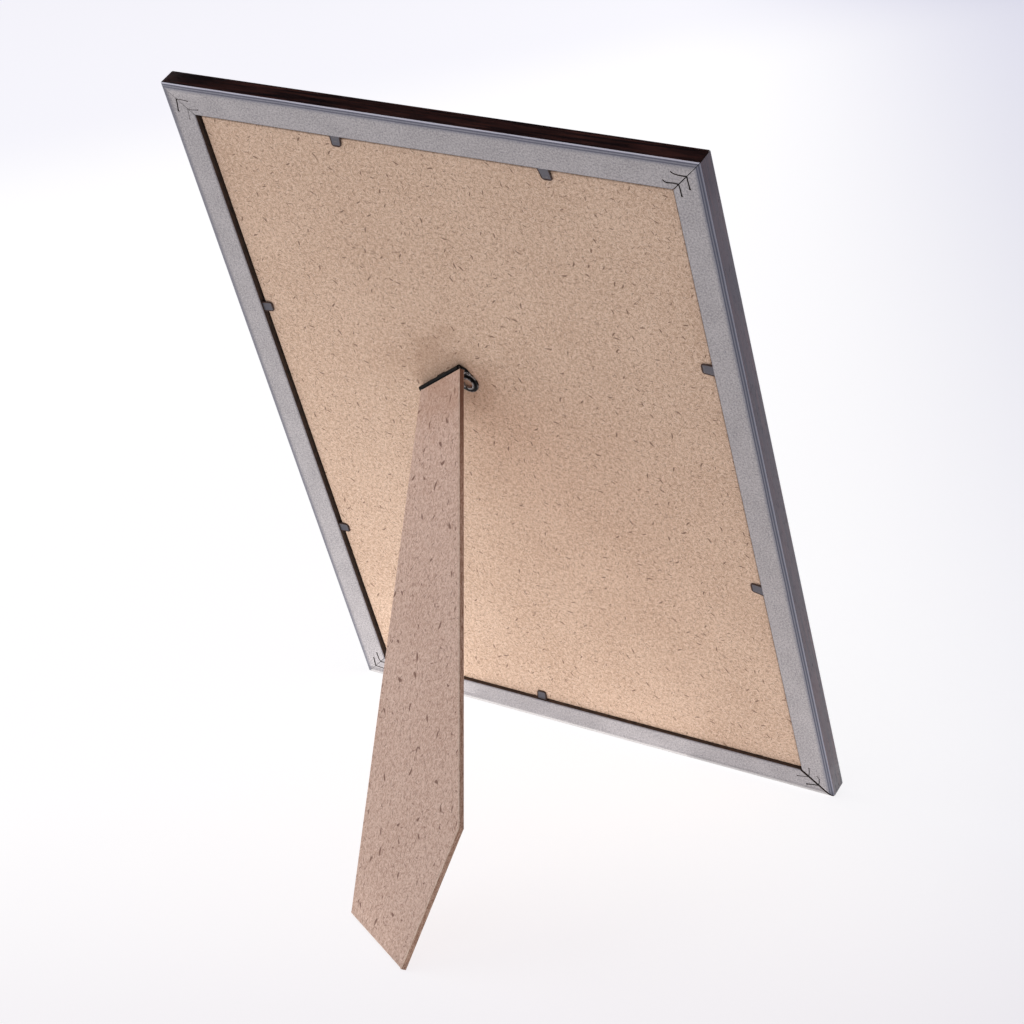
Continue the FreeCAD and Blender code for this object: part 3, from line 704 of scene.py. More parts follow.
@dataclass(frozen=True)
class PaintedBack(Finish):
    """The moulding's back: grey, finely speckled, with painted shade and light along its arris."""

    label: str
    place: Matrix
    rail_width: float
    arris: PaintedArrisLight
    grey: Colour
    speck: Colour
    # band colours the paint's dark pits and the painted shade; line the painted shade lines and
    # edge
    band: Colour
    line: Colour

    def mix(self, bench: Surface) -> None:
        """Lay speckled grey, then painted shade and light along the arris and the inner edge.

        Args:
            bench: the finish's nodes.
        """
        place = bench.place(self.place)
        across = bench.parts(place)[1]
        wander = bench.noise(bench.scaled(place, (0.2, 1.0, 1.0)), 5 * MM, 2.0, 0.5)
        moved = bench.math("MULTIPLY_ADD", bench.less(wander, 0.5), 0.35 * MM, across)
        fine = bench.noise(place, 0.75 * MM, 2.0, 0.6)
        cloud = bench.noise(place, 14 * MM, 3.0, 0.5)
        spotted = bench.plus(bench.times(fine, 0.8), bench.times(cloud, 0.2))
        ground = bench.mix(bench.step(spotted, 0.32, 0.66), self.speck, self.grey)
        pits = bench.step(bench.noise(place, 0.9 * MM, 0.0), 0.7, 0.78, 0.0, 0.45)
        ground = bench.mix(pits, ground, self.band)
        # Painted shade and painted light along the outer arris, different on each rail
        look = self.arris
        band = bench.step(moved, 1.1 * MM, 3.4 * MM, max(0.75 * look.turned, 0.4 * look.rim), 0.0)
        ground = bench.mix(band, ground, self.band)
        for middle, half, share in ((1.45, 0.36, 0.8), (0.62, 0.34, 0.82)):
            away = bench.math("ABSOLUTE", bench.less(moved, middle * MM))
            line = bench.step(away, 0.0, half * MM, share * look.turned, 0.0)
            ground = bench.mix(line, ground, self.line)
        edge = bench.step(moved, 0.55 * look.reach, look.reach, look.pale, 0.0)
        ground = bench.mix(edge, ground, look.edge)
        rim = bench.step(moved, 0.3 * look.reach, look.reach, look.rim, 0.0)
        ground = bench.mix(rim, ground, self.line)
        # Painted shade along the inner edge, by the rebate
        inner = bench.step(across, self.rail_width - 0.8 * MM, self.rail_width, 0.0, 0.5)
        ground = bench.mix(inner, ground, self.band)
        bench.coat("Base Color", ground)
        bench.coat("Roughness", bench.step(moved, 1.0 * MM, 3.4 * MM, 0.4, 0.62))
        bench.coat("Normal", bench.bump(fine, 0.03 * MM))


@dataclass(frozen=True)
class WoodFoil(Finish):
    """Dark wood-grain foil with a satin lacquer."""

    label: str
    place: Matrix
    dark: Colour
    warm: Colour
    pore: Colour
    gloss: float

    def mix(self, bench: Surface) -> None:
        """Lay lengthwise streaks and pores in near black and red brown.

        Args:
            bench: the finish's nodes.
        """
        grain = bench.group(bench.effects.grain, Place=bench.place(self.place)).outputs
        streaks, pores = grain["Streaks"], grain["Pores"]
        ground = bench.mix(bench.step(streaks, 0.34, 0.78), self.dark, self.warm)
        bench.coat("Base Color", bench.mix(bench.times(pores, 0.7), ground, self.pore))
        bench.coat("Roughness", bench.step(pores, 0.0, 1.0, 0.3, 0.5))
        bench.coat("Specular IOR Level", self.gloss)
        # The lacquer's reflection is tinted lavender, standing in for the colour of the light
        # around
        bench.coat("Specular Tint", pigment(236, 226, 255))
        bench.coat("Normal", bench.bump(bench.less(1.0, pores), 0.02 * MM))


@dataclass(frozen=True)
class RawCore(Finish):
    """The bare core of the moulding, where it is rebated and cut."""

    label: str
    place: Matrix
    colour: Colour
    dark: Colour

    def mix(self, bench: Surface) -> None:
        """Lay fine sanding marks over dark brown.

        Args:
            bench: the finish's nodes.
        """
        place = bench.place(self.place)
        marks = bench.noise(bench.scaled(place, (0.2, 1.0, 1.0)), 0.5 * MM, 3.0, 0.6)
        bench.coat("Base Color", bench.mix(bench.step(marks, 0.35, 0.65), self.dark, self.colour))
        bench.coat("Roughness", 0.8)
        bench.coat("Normal", bench.bump(marks, 0.03 * MM))


@dataclass(frozen=True)
class Metal(Finish):
    """Sheet metal or wire with a coating that is thinner and brighter in places."""

    label: str
    colour: Colour
    worn: Colour
    metallic: float
    smooth: float
    rough: float

    def mix(self, bench: Surface) -> None:
        """Lay blotches and fine scratches that differ in gloss.

        Args:
            bench: the finish's nodes.
        """
        place = bench.add("ShaderNodeTexCoord").outputs["Object"]
        blotch = bench.noise(place, 1.6 * MM, 3.0, 0.6)
        scratch = bench.noise(bench.scaled(place, (1.0, 0.12, 0.4)), 0.25 * MM, 2.0, 0.6)
        wear = bench.times(bench.step(blotch, 0.5, 0.72), bench.step(scratch, 0.4, 0.62))
        bench.coat("Base Color", bench.mix(wear, self.colour, self.worn))
        bench.coat("Metallic", self.metallic)
        bench.coat("Roughness", bench.step(blotch, 0.3, 0.7, self.smooth, self.rough))
        bench.coat("Normal", bench.bump(blotch, 0.02 * MM))


@dataclass(frozen=True)
class ClearGlass(Finish):
    """Float glass with a trace of haze."""

    label: str = "clear glass"

    def mix(self, bench: Surface) -> None:
        """Set clear transmission and a gloss that varies slightly.

        Args:
            bench: the finish's nodes.
        """
        place = bench.add("ShaderNodeTexCoord").outputs["Object"]
        haze = bench.noise(place, 45 * MM, 3.0, 0.6)
        bench.coat("Base Color", pigment(246, 251, 249))
        bench.coat("Transmission Weight", 1.0)
        bench.coat("IOR", 1.5)
        bench.coat("Roughness", bench.step(haze, 0.4, 0.8, 0.0, 0.06))


@dataclass(frozen=True)
class PlainPaper(Finish):
    """Uncoated paper with a faint tooth."""

    label: str
    place: Matrix
    colour: Colour
    shade: Colour

    def mix(self, bench: Surface) -> None:
        """Lay paper fibre and a faint cloudiness over off-white.

        Args:
            bench: the finish's nodes.
        """
        place = bench.place(self.place)
        cloud = bench.noise(place, 18 * MM, 4.0, 0.6)
        tooth = bench.noise(place, 0.35 * MM, 2.0, 0.6)
        tone = bench.plus(bench.times(cloud, 0.6), bench.times(tooth, 0.4))
        bench.coat("Base Color", bench.mix(bench.step(tone, 0.3, 0.7), self.shade, self.colour))
        bench.coat("Roughness", 0.8)
        bench.coat("Normal", bench.bump(tooth, 0.02 * MM))


@dataclass
class Blank:
    """Points and faces of one piece before it becomes a mesh."""

    points: list[Vector] = field(default_factory=list)
    faces: list[tuple[int, ...]] = field(default_factory=list)
    zones: list[int] = field(default_factory=list)

    def ring(self, points: list[Vector]) -> list[int]:
        """Add a ring of points.

        Args:
            points: the points.

        Returns:
            Their numbers.
        """
        first = len(self.points)
        self.points.extend(points)
        return list(range(first, len(self.points)))

    def bridge(self, first: list[int], second: list[int], zones: list[int]) -> None:
        """Join two closed rings by quads.

        Args:
            first: the numbers of one ring's points.
            second: those of the other.
            zones: the zone of each quad.
        """
        count = len(first)
        for number in range(count):
            after = (number + 1) % count
            self.faces.append((first[number], first[after], second[after], second[number]))
            self.zones.append(zones[number])

    def cap(self, ring: list[int], zone: int, outward: bool = True) -> None:
        """Close a ring with one flat face.

        Args:
            ring: the numbers of its points.
            zone: the face's zone.
            outward: whether the face looks back along the row of rings.
        """
        self.faces.append(tuple(ring if outward else reversed(ring)))
        self.zones.append(zone)

    def loft(self, rings: list[list[Vector]], zones: list[list[int]], end_zone: int) -> None:
        """Skin a row of rings and close both ends.

        Args:
            rings: the rings in order.
            zones: for each step from ring to ring, the zone of each face.
            end_zone: the zone of both ends.
        """
        numbers = [self.ring(ring) for ring in rings]
        self.cap(numbers[0], end_zone)
        for first, second, row in zip(numbers, numbers[1:], zones):
            self.bridge(first, second, row)
        self.cap(numbers[-1], end_zone, outward=False)

    def prism(self, outline: list[Pair], low: float, high: float, zone: int) -> None:
        """Add a solid that stands on a flat outline.

        Args:
            outline: its closed outline.
            low: where it starts, across the outline's plane.
            high: where it ends.
            zone: the zone of its faces.
        """
        rings = [self.ring([Vector((u, v, level)) for u, v in outline]) for level in (low, high)]
        self.bridge(rings[0], rings[1], [zone] * len(outline))
        self.cap(rings[0], zone)
        self.cap(rings[1], zone, outward=False)

    def to_object(self, name: str, place: Matrix, materials: list[bpy.types.Material],
                  sharp: float = SHARP) -> bpy.types.Object:
        """Make the object.

        Args:
            name: the piece's name.
            place: from the blank's frame to the model's frame.
            materials: one material for each zone.
            sharp: edges that turn by more than this many degrees stay sharp.

        Returns:
            The object, with its place in its vertices.
        """
        mesh = bpy.data.meshes.new(name)
        mesh.from_pydata([place @ point for point in self.points], [], self.faces)
        for material in materials:
            mesh.materials.append(material)
        for polygon, zone in zip(mesh.polygons, self.zones):
            polygon.material_index = zone
        smooth_mesh(mesh, sharp)
        piece = bpy.data.objects.new(name, mesh)
        bpy.context.scene.collection.objects.link(piece)
        return piece


def smooth_mesh(mesh: bpy.types.Mesh, sharp: float = SHARP) -> None:
    """Turn all faces outward, shade them smooth and keep edges over an angle sharp.

    Args:
        mesh: the mesh.
        sharp: the angle in degrees.
    """
    work = bmesh.new()
    work.from_mesh(mesh)
    bmesh.ops.recalc_face_normals(work, faces=work.faces)
    for face in work.faces:
        face.smooth = True
    for edge in work.edges:
        edge.smooth = len(edge.link_faces) == 2 and edge.calc_face_angle(0.0) < math.radians(sharp)
    work.to_mesh(mesh)
    work.free()


def settle(piece: bpy.types.Object, body: str, slot: str, *replaced: str) -> bpy.types.Object:
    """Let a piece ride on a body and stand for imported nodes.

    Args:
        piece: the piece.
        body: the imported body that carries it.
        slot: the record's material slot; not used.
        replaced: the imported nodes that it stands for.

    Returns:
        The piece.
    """
    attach(piece, body)
    if replaced:
        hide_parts(*replaced)
    LOG.info("%s: %d faces on %s", piece.name, len(piece.data.polygons), body)
    return piece


def cut_away(piece: bpy.types.Object, cutter: bpy.types.Object) -> None:
    """Cut one object out of another for good and delete the cutter.

    Args:
        piece: what is cut.
        cutter: what cuts it.
    """
    cut = piece.modifiers.new("cut", "BOOLEAN")
    cut.operation = "DIFFERENCE"
    cut.solver = "EXACT"
    cut.object = cutter
    bpy.context.view_layer.update()
    shaped = piece.evaluated_get(bpy.context.evaluated_depsgraph_get())
    mesh = bpy.data.meshes.new_from_object(shaped)
    piece.modifiers.clear()
    old = piece.data
    piece.data = mesh
    bpy.data.meshes.remove(old)
    mesh.name = piece.name
    bpy.data.objects.remove(cutter)


@dataclass(frozen=True)
class Nail:
    """One V-nail: how far in its point lies on the mitre, and the bends of its two legs.

    A leg's bends are given from its point, in millimetres: along its rail, and inward. Its slot is
    as wide as its open share says: a small share stands for a slot that the paint nearly closed.
    """

    inset: float
    next_leg: tuple[Pair, ...]
    last_leg: tuple[Pair, ...]
    open_shares: Pair = (1.0, 1.0)

    def line(self, bends: tuple[Pair, ...]) -> list[Pair]:
        """Return a leg's places from the corner: along its rail, and in from its outer side.

        Args:
            bends: the leg's bends.

        Returns:
            The places in metres, from the nail's point.
        """
        start = self.inset * MM
        places = [(start + along * MM, start + inward * MM) for along, inward in bends]
        return [(start, start)] + places


@dataclass
class Moulding:
    """The four mitred rails and the nails that join them.

    The openings are the mitres' widths in millimetres, outside and inside, at the corner where each
    rail starts.
    """

    stance: Stance
    effects: Effects
    rail_width: float = 12.8 * MM
    depth: float = 9.6 * MM
    rebate_depth: float = 6.6 * MM
    lip_reach: float = 5.0 * MM
    lip_edge: float = 1.6 * MM
    crown_width: float = 9.0 * MM
    front_arris: float = 1.2 * MM
    arris_width: float = 2.6 * MM
    arris_depth: float = 1.15 * MM
    wall_ease: float = 0.4 * MM
    arris_steps: int = 9
    ease_steps: int = 4
    crown_steps: int = 12
    front_steps: int = 6
    slot_half: float = 0.3 * MM
    torn_end: float = 0.9 * MM
    slot_depth: float = 1.3 * MM
    nail_half: float = 0.2 * MM
    nail_sink: float = 0.4 * MM
    nail_height: float = 4.5 * MM
    back_steps: int = 13
    end_length: float = 0.12 * MM
    end_drawn: float = 0.07 * MM
    end_ragged: float = 0.07 * MM
    rag_scale: float = 900.0
    rag_step: int = 7
    held_in: Pair = (20 * MM, 80 * MM)
    openings: tuple[Pair, ...] = ((0.95, 1.30), (0.16, 0.12), (0.10, 0.20), (0.30, 0.36))

    BACK = 0
    FOIL = 1
    CORE = 2

    def section(self) -> tuple[list[Pair], list[int]]:
        """Return the closed section (across, deep) and the zone of the edge after each point.

        Returns:
            The section's points, and a zone for each.
        """
        radius = (self.arris_width ** 2 + self.arris_depth ** 2) / (2 * self.arris_depth)
        start = math.degrees(math.asin(self.arris_width / radius))
        back = arc((self.arris_width, radius), radius, -90 - start, -90, self.arris_steps)
        flat_end = self.rail_width - self.wall_ease
        for step in range(1, self.back_steps):
            flat = (flat_end - self.arris_width) * step / self.back_steps
            back.append((self.arris_width + flat, 0.0))
        back += arc((flat_end, self.wall_ease), self.wall_ease, -90, 0, self.ease_steps)
        sight = self.rail_width + self.lip_reach
        sight_depth = self.rebate_depth + self.lip_edge
        core = [(self.rail_width, self.rebate_depth)]
        run = sight - self.crown_width
        rise = self.depth - sight_depth
        crown_radius = (run ** 2 + rise ** 2) / (2 * rise)
        crown_start = math.degrees(math.asin(run / crown_radius))
        crown_centre = (self.crown_width, self.depth - crown_radius)
        foil = [(sight, self.rebate_depth)]
        foil += arc(crown_centre, crown_radius, 90 - crown_start, 90, self.crown_steps)
        corner = (self.front_arris, self.depth - self.front_arris)
        foil += arc(corner, self.front_arris, 90, 180, self.front_steps)
        points = back + core + foil
        zones = [self.BACK] * (len(back) - 1) + [self.CORE] * 2 + [self.FOIL] * len(foil)
        return points, zones[:len(points)]

    def rail_materials(self, side: Side) -> list[bpy.types.Material]:
        """Return the rail's materials.

        Args:
            side: the rail.

        Returns:
            The materials in the order of the rail's zones.
        """
        place = self.stance.rail_place(side)
        # Painted light and shade at each rail's arris: painted shade lines and a thin painted
        # highlight on the top and left, a dark painted shade edge on the right, white painted light
        # on the bottom
        looks = {
            Side.BOTTOM: PaintedArrisLight(0.0, 0.0, 0.6, 3.4 * MM, pigment(250, 246, 243)),
            Side.RIGHT: PaintedArrisLight(0.0, 0.7, 0.0, 4.0 * MM, pigment(196, 194, 208)),
            Side.TOP: PaintedArrisLight(1.0, 0.0, 1.0, 0.5 * MM, pigment(196, 194, 208)),
            Side.LEFT: PaintedArrisLight(1.2, 0.0, 0.35, 0.4 * MM, pigment(180, 178, 198)),
        }
        back = PaintedBack(
            f"painted back {side.value}", place, self.rail_width, looks[side],
            pigment(188, 182, 184), pigment(144, 139, 142), pigment(114, 114, 128),
            pigment(58, 62, 84),
        )
        foil = WoodFoil(
            f"wood foil {side.value}", place, pigment(24, 16, 17), pigment(80, 46, 39),
            # The left rail's foil gets more gloss, for a brighter sheen on that side
            pigment(12, 8, 9), 0.8 if side is Side.LEFT else 0.65,
        )
        core = RawCore(f"raw core {side.value}", place, pigment(70, 50, 38), pigment(38, 26, 20))
        return [finish.material(self.effects) for finish in (back, foil, core)]

    def gap(self, start: Side, across: float) -> float:
        """Return half the mitre's opening at the corner where a rail starts.

        Args:
            start: the rail that starts at the corner.
            across: distance in from the outer side.

        Returns:
            Half the opening, along the rail.
        """
        outer, inner = self.openings[list(Side).index(start)]
        share = across / (self.rail_width + self.lip_reach)
        return (outer + (inner - outer) * share) * MM / math.sqrt(2)

    def build_rail(self, side: Side) -> bpy.types.Object:
        """Build one rail between its mitres, slotted for the nails.

        Args:
            side: the rail.

        Returns:
            The rail.
        """
        points, zones = self.section()
        order = list(Side)
        following = order[(order.index(side) + 1) % len(order)]
        half = self.stance.rail_length(side) / 2
        middle = Vector((self.rail_width / 2, self.depth / 2, 0))
        stations = [(0.0, self.end_drawn), (self.end_length, 0.0)]
        stations += [(reach, 0.0) for reach in self.held_in]
        stations += [(None, 0.0)] + [(-reach, drawn) for reach, drawn in reversed(stations)]
        rings = []
        for number, (reach, drawn) in enumerate(stations):
            ring = []
            for across, deep in points:
                left = -half + across + self.gap(side, across)
                right = half - across - self.gap(following, across)
                patch = order.index(side) * self.rag_step + number
                seed = Vector((across * self.rag_scale, deep * self.rag_scale, patch))
                ragged = noise.noise(seed) * self.end_ragged if drawn else 0.0
                if reach is None:
                    along = (left + right) / 2
                elif number < len(stations) // 2:
                    along = left + reach + ragged
                else:
                    along = right + reach - ragged
                inward = (middle - Vector((across, deep, 0))).normalized() * drawn
                ring.append(Vector((along, across + inward.x, deep + inward.y)))
            rings.append(ring)
        blank = Blank()
        blank.loft(rings, [zones] * len(rings), self.CORE)
        place = self.stance.rail_place(side)
        materials = self.rail_materials(side)
        piece = blank.to_object(f"moulding_{side.value}", place, materials)
        cut_away(piece, self.build_slots(side, following, half, place, materials))
        smooth_mesh(piece.data)
        return settle(piece, "frame", "moulding", f"rail_{side.value}")

    @staticmethod
    def nails(start: Side) -> tuple[Nail, Nail]:
        """Return the nails at a corner.

        Args:
            start: the rail that starts at the corner.

        Returns:
            The outer and the inner nail.
        """
        pairs = {
            Side.BOTTOM: (
                Nail(6.1, ((2.9, -0.5), (6.0, -1.2)), ((2.6, -0.7), (4.4, -0.9), (5.5, -0.1)),
                     (1.1, 0.7)),
                Nail(10.0, ((2.9, -0.6), (5.9, -1.3)), ((3.2, -0.7), (5.8, -0.9)), (0.6, 0.6)),
            ),
            Side.RIGHT: (
                Nail(6.1, ((2.4, 0.2), (5.6, 0.5)), ((3.0, -0.2), (6.0, -0.6))),
                Nail(10.0, ((1.6, -0.5), (5.6, -0.6)), ((3.0, 0.1), (6.0, -0.3))),
            ),
            Side.TOP: (
                Nail(6.2, ((2.8, 0.1), (5.5, 0.4)), ((2.7, -0.4), (5.2, -1.0), (6.0, -0.9)),
                     (0.5, 1.0)),
                Nail(10.2, ((2.2, 0.3), (5.3, -0.1)), ((2.6, -0.2), (5.2, -0.6)), (0.45, 0.35)),
            ),
            Side.LEFT: (
                Nail(6.0, ((2.1, -0.1), (5.8, -0.3)), ((3.0, 0.0), (5.2, -0.4), (6.3, -1.2))),
                Nail(10.0, ((1.8, -0.2), (5.3, -0.3)), ((2.4, -0.2), (5.0, 0.0), (6.3, -0.9))),
            ),
        }
        return pairs[start]

    def build_slots(self, side: Side, following: Side, half: float, place: Matrix,
                    materials: list[bpy.types.Material]) -> bpy.types.Object:
        """Build what cuts the nails' slots in one rail's back.

        Args:
            side: the rail.
            following: the rail that starts where it ends.
            half: half the rail's outer length.
            place: the rail's place.
            materials: the rail's materials.

        Returns:
            The cutter.
        """
        cutter = Blank()
        for corner, way in ((side, 1), (following, -1)):
            for nail in self.nails(corner):
                bends = nail.next_leg if way > 0 else nail.last_leg
                share = nail.open_shares[0 if way > 0 else 1]
                line, halves = self.slot_line(nail.line(bends), share)
                outline = [(way * (u - half), v) for u, v in self.strip(line, halves)]
                cutter.prism(outline, -self.slot_depth, self.slot_depth, self.CORE)
        return cutter.to_object(f"slots_{side.value}", place, materials)

    def slot_line(self, line: list[Pair], share: float) -> tuple[list[Pair], list[float]]:
        """Return a slot's middle line and its half widths, torn wider where the leg ends.

        Args:
            line: the leg's own line.
            share: how far the slot is open.

        Returns:
            The line with a point added before its end, and half the width at each point.
        """
        start = Vector(line[-2])
        run = Vector(line[-1]) - start
        kept = max(1 - self.torn_end / run.length, 0.1)
        widths = [self.slot_half * share] * len(line) + [self.slot_half * (0.6 + share)]
        return line[:-1] + [tuple(start + run * kept), line[-1]], widths

    @staticmethod
    def strip(line: list[Pair], halves: list[float]) -> list[Pair]:
        """Return a strip along a line.

        Args:
            line: its middle line, from the mitre outward.
            halves: half its width at each point of the line.

        Returns:
            The strip's closed outline.
        """
        points = [(line[0][0] - halves[0], line[0][1])] + line[1:]
        upper = [(u, v + half) for (u, v), half in zip(points, halves)]
        lower = [(u, v - half) for (u, v), half in zip(points, halves)]
        return lower + upper[::-1]

    def build_nails(self, start: Side, corner: str) -> bpy.types.Object:
        """Build the two nails at a corner.

        Args:
            start: the rail that starts at the corner.
            corner: the corner's name.

        Returns:
            The nails, as one piece.
        """
        steel = Metal("nail steel", pigment(62, 60, 62), pigment(120, 118, 116), 0.8, 0.4, 0.6)
        blank = Blank()
        for nail in self.nails(start):
            blank.prism(self.nail_outline(nail), self.nail_sink, self.nail_height, 0)
        shift = Matrix.Translation((-self.stance.rail_length(start) / 2, 0, 0))
        piece = blank.to_object(
            f"nails_{corner}", self.stance.rail_place(start) @ shift, [steel.material(self.effects)]
        )
        return settle(piece, "frame", "corner_nails", f"v_nails_{corner}")

    def nail_outline(self, nail: Nail) -> list[Pair]:
        """Return a nail's outline.

        Args:
            nail: the nail.

        Returns:
            Its closed outline in the place of the rail that starts at its corner.
        """
        half = self.nail_half
        first = nail.line(nail.next_leg)[1:]
        second = [(v, u) for u, v in nail.line(nail.last_leg)[1:]]
        outer = nail.inset * MM - half
        inner = nail.inset * MM + half
        outline = [(outer, outer)]
        outline += [(u, v - half) for u, v in first]
        outline += [(u, v + half) for u, v in reversed(first)]
        outline.append((inner, inner))
        outline += [(u + half, v) for u, v in second]
        outline += [(u - half, v) for u, v in reversed(second)]
        return outline

    def build(self) -> None:
        """Build all rails and nails."""
        corners = {
            Side.BOTTOM: "bottom_left",
            Side.RIGHT: "bottom_right",
            Side.TOP: "top_right",
            Side.LEFT: "top_left",
        }
        for side in Side:
            self.build_rail(side)
            self.build_nails(side, corners[side])


@dataclass(frozen=True)
class TabShape:
    """One retaining tab as it was driven and bent.

    Its width, reach and taper are in millimetres, and so is its spring, by which its tip stands up.
    The slant is how far it runs aside for each millimetre of its reach.
    """

    side: Side
    width: float
    reach: float
    taper: float
    slant: float
    spring: float


@dataclass
class Tabs:
    """The retaining tabs shot into the rebate over the board."""

    stance: Stance
    effects: Effects
    rail_width: float = 12.8 * MM
    thickness: float = 0.4 * MM
    root: float = 8.0 * MM
    point: float = 1.6 * MM
    corner: float = 1.3 * MM
    depth: float = 1.05 * MM
    recess: float = 1.9 * MM
    lift: float = 0.05 * MM
    edge_round: float = 0.12 * MM
    border: float = 0.5 * MM
    drop_rate: float = 1.25
    reach_steps: int = 14
    flat_steps: int = 10
    tip_steps: int = 7
    sharp: float = 50.0

    FACE = 0
    EDGE = 1

    def shapes(self) -> dict[str, TabShape]:
        """Return each tab's shape by the name of the node it stands for.

        Returns:
            The shapes.
        """
        return {
            "retaining_tab_top_left": TabShape(Side.TOP, 5.5, 6.0, 0.7, 0.10, 0.0),
            "retaining_tab_top_right": TabShape(Side.TOP, 5.4, 5.8, 0.9, -0.16, 0.12),
            "retaining_tab_left_upper": TabShape(Side.LEFT, 5.4, 6.1, 0.5, 0.04, 0.0),
            "retaining_tab_left_lower": TabShape(Side.LEFT, 5.3, 5.9, 0.4, -0.08, 0.05),
            "retaining_tab_right_upper": TabShape(Side.RIGHT, 5.0, 5.0, 0.3, 0.10, 0.15),
            "retaining_tab_right_lower": TabShape(Side.RIGHT, 4.9, 4.6, 0.4, -0.06, 0.0),
            "retaining_tab_bottom": TabShape(Side.BOTTOM, 5.0, 4.7, 0.5, -0.12, 0.05),
        }

    def stations(self, shape: TabShape) -> list[float]:
        """Return where the tab's section is set.

        Args:
            shape: the tab's shape.

        Returns:
            The places, in from the rail's outer side.
        """
        tip = self.rail_width + shape.reach * MM
        start = self.rail_width - self.root
        places = [start, start + self.point, self.rail_width - self.root / 3]
        for step in range(self.flat_steps):
            places.append(self.rail_width + shape.reach * MM * step / self.reach_steps)
        for step in range(1, self.tip_steps + 1):
            turned = math.radians(90 * step / self.tip_steps)
            places.append(tip - self.corner * (1 - math.sin(turned)))
        return places

    def section(self, shape: TabShape, along: float, across: float) -> list[Vector]:
        """Return the tab's section, a flat strip with rounded edges.

        Args:
            shape: the tab's shape.
            along: the tab's middle along the rail.
            across: where the section lies, in from the rail's outer side.

        Returns:
            The section's points in the rail's own place.
        """
        tip = self.rail_width + shape.reach * MM
        start = self.rail_width - self.root
        out = max(across - self.rail_width, 0.0)
        share = out / (shape.reach * MM)
        over = max(across - (tip - self.corner), 0.0)
        half = (shape.width - shape.taper * share) * MM / 2 - self.corner
        half += math.sqrt(max(self.corner ** 2 - over ** 2, 0.0))
        half -= max(start + self.point - across, 0.0)
        drop = self.recess - self.lift - self.depth - self.thickness
        upper = self.depth + drop * ease(share * self.drop_rate) - shape.spring * MM * ease(share)
        soft = self.edge_round
        middle = self.thickness / 2 - soft
        inside = max(half - soft - self.border, soft)
        places = []
        for x, z, begin in ((-1, -1, 180), (1, -1, 270), (1, 1, 0), (-1, 1, 90)):
            places += arc((x * (half - soft), z * middle), soft, begin, begin + 90, 3)
            if begin == 180:
                places += [(-inside, -self.thickness / 2), (inside, -self.thickness / 2)]
        slanted = along + shape.slant * out
        return [Vector((slanted + u, across, upper + self.thickness / 2 + v)) for u, v in places]

    def build_tab(self, node: str, shape: TabShape, materials: list[bpy.types.Material]) -> None:
        """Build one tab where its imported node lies.

        Args:
            node: the node's name.
            shape: the tab's shape.
            materials: the steel of its face and of its cut edge.
        """
        place = self.stance.rail_place(shape.side)
        inverse = place.inverted()
        spots = [(inverse @ vertex.co).x for vertex in frame["nodes"][node].data.vertices]
        along = (min(spots) + max(spots)) / 2
        border = self.rail_width + shape.reach * MM - self.border
        rings = []
        zones = []
        for across in self.stations(shape):
            rings.append(self.section(shape, along, across))
            face = self.FACE if across < border else self.EDGE
            row = [self.EDGE] * 4 + [face] + [self.EDGE] * 8 + [self.FACE] + [self.EDGE] * 4
            zones.append(row)
        blank = Blank()
        blank.loft(rings, zones[1:], self.EDGE)
        piece = blank.to_object(node.replace("retaining_tab", "tab"), place, materials, self.sharp)
        settle(piece, "frame", "retaining_steel", node)

    def build(self) -> None:
        """Build every tab."""
        blued = Metal("blued steel", pigment(88, 86, 94), pigment(132, 124, 122), 0.45, 0.36, 0.6)
        # The cut edges and a narrow border round each tab's tip are dark reddish brown
        dark_edge = Metal("dark reddish cut edge", pigment(54, 32, 25), pigment(26, 18, 18), 0.1, 0.6, 0.8)
        materials = [blued.material(self.effects), dark_edge.material(self.effects)]
        for node, shape in self.shapes().items():
            self.build_tab(node, shape, materials)


@dataclass
class Panels:
    """The backing board, picture sheet and glass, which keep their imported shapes."""

    stance: Stance
    effects: Effects

    def build(self) -> None:
        """Dress the panels."""
        place = self.stance.upright
        board = Hardboard(
            "backing hardboard", place, True, pigment(222, 193, 171), pigment(189, 157, 134),
            pigment(236, 212, 194), pigment(104, 74, 58), 0.5, 2.5 * MM, pigment(164, 128, 104),
            self.stance.hinge.translation,
        )
        paper = PlainPaper("plain paper", place, pigment(238, 235, 228), pigment(226, 222, 214))
        dress("backing_board", board.material(self.effects))
        dress("picture_sheet", paper.material(self.effects))
        dress("glass_pane", ClearGlass().material(self.effects))


def dress(node: str, material: bpy.types.Material) -> None:
    """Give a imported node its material.

    Args:
        node: the node's name.
        material: its material.
    """
    mesh = frame["nodes"][node].data
    mesh.materials.clear()
    mesh.materials.append(material)
    LOG.info("%s: dressed in %s", node, material.name)


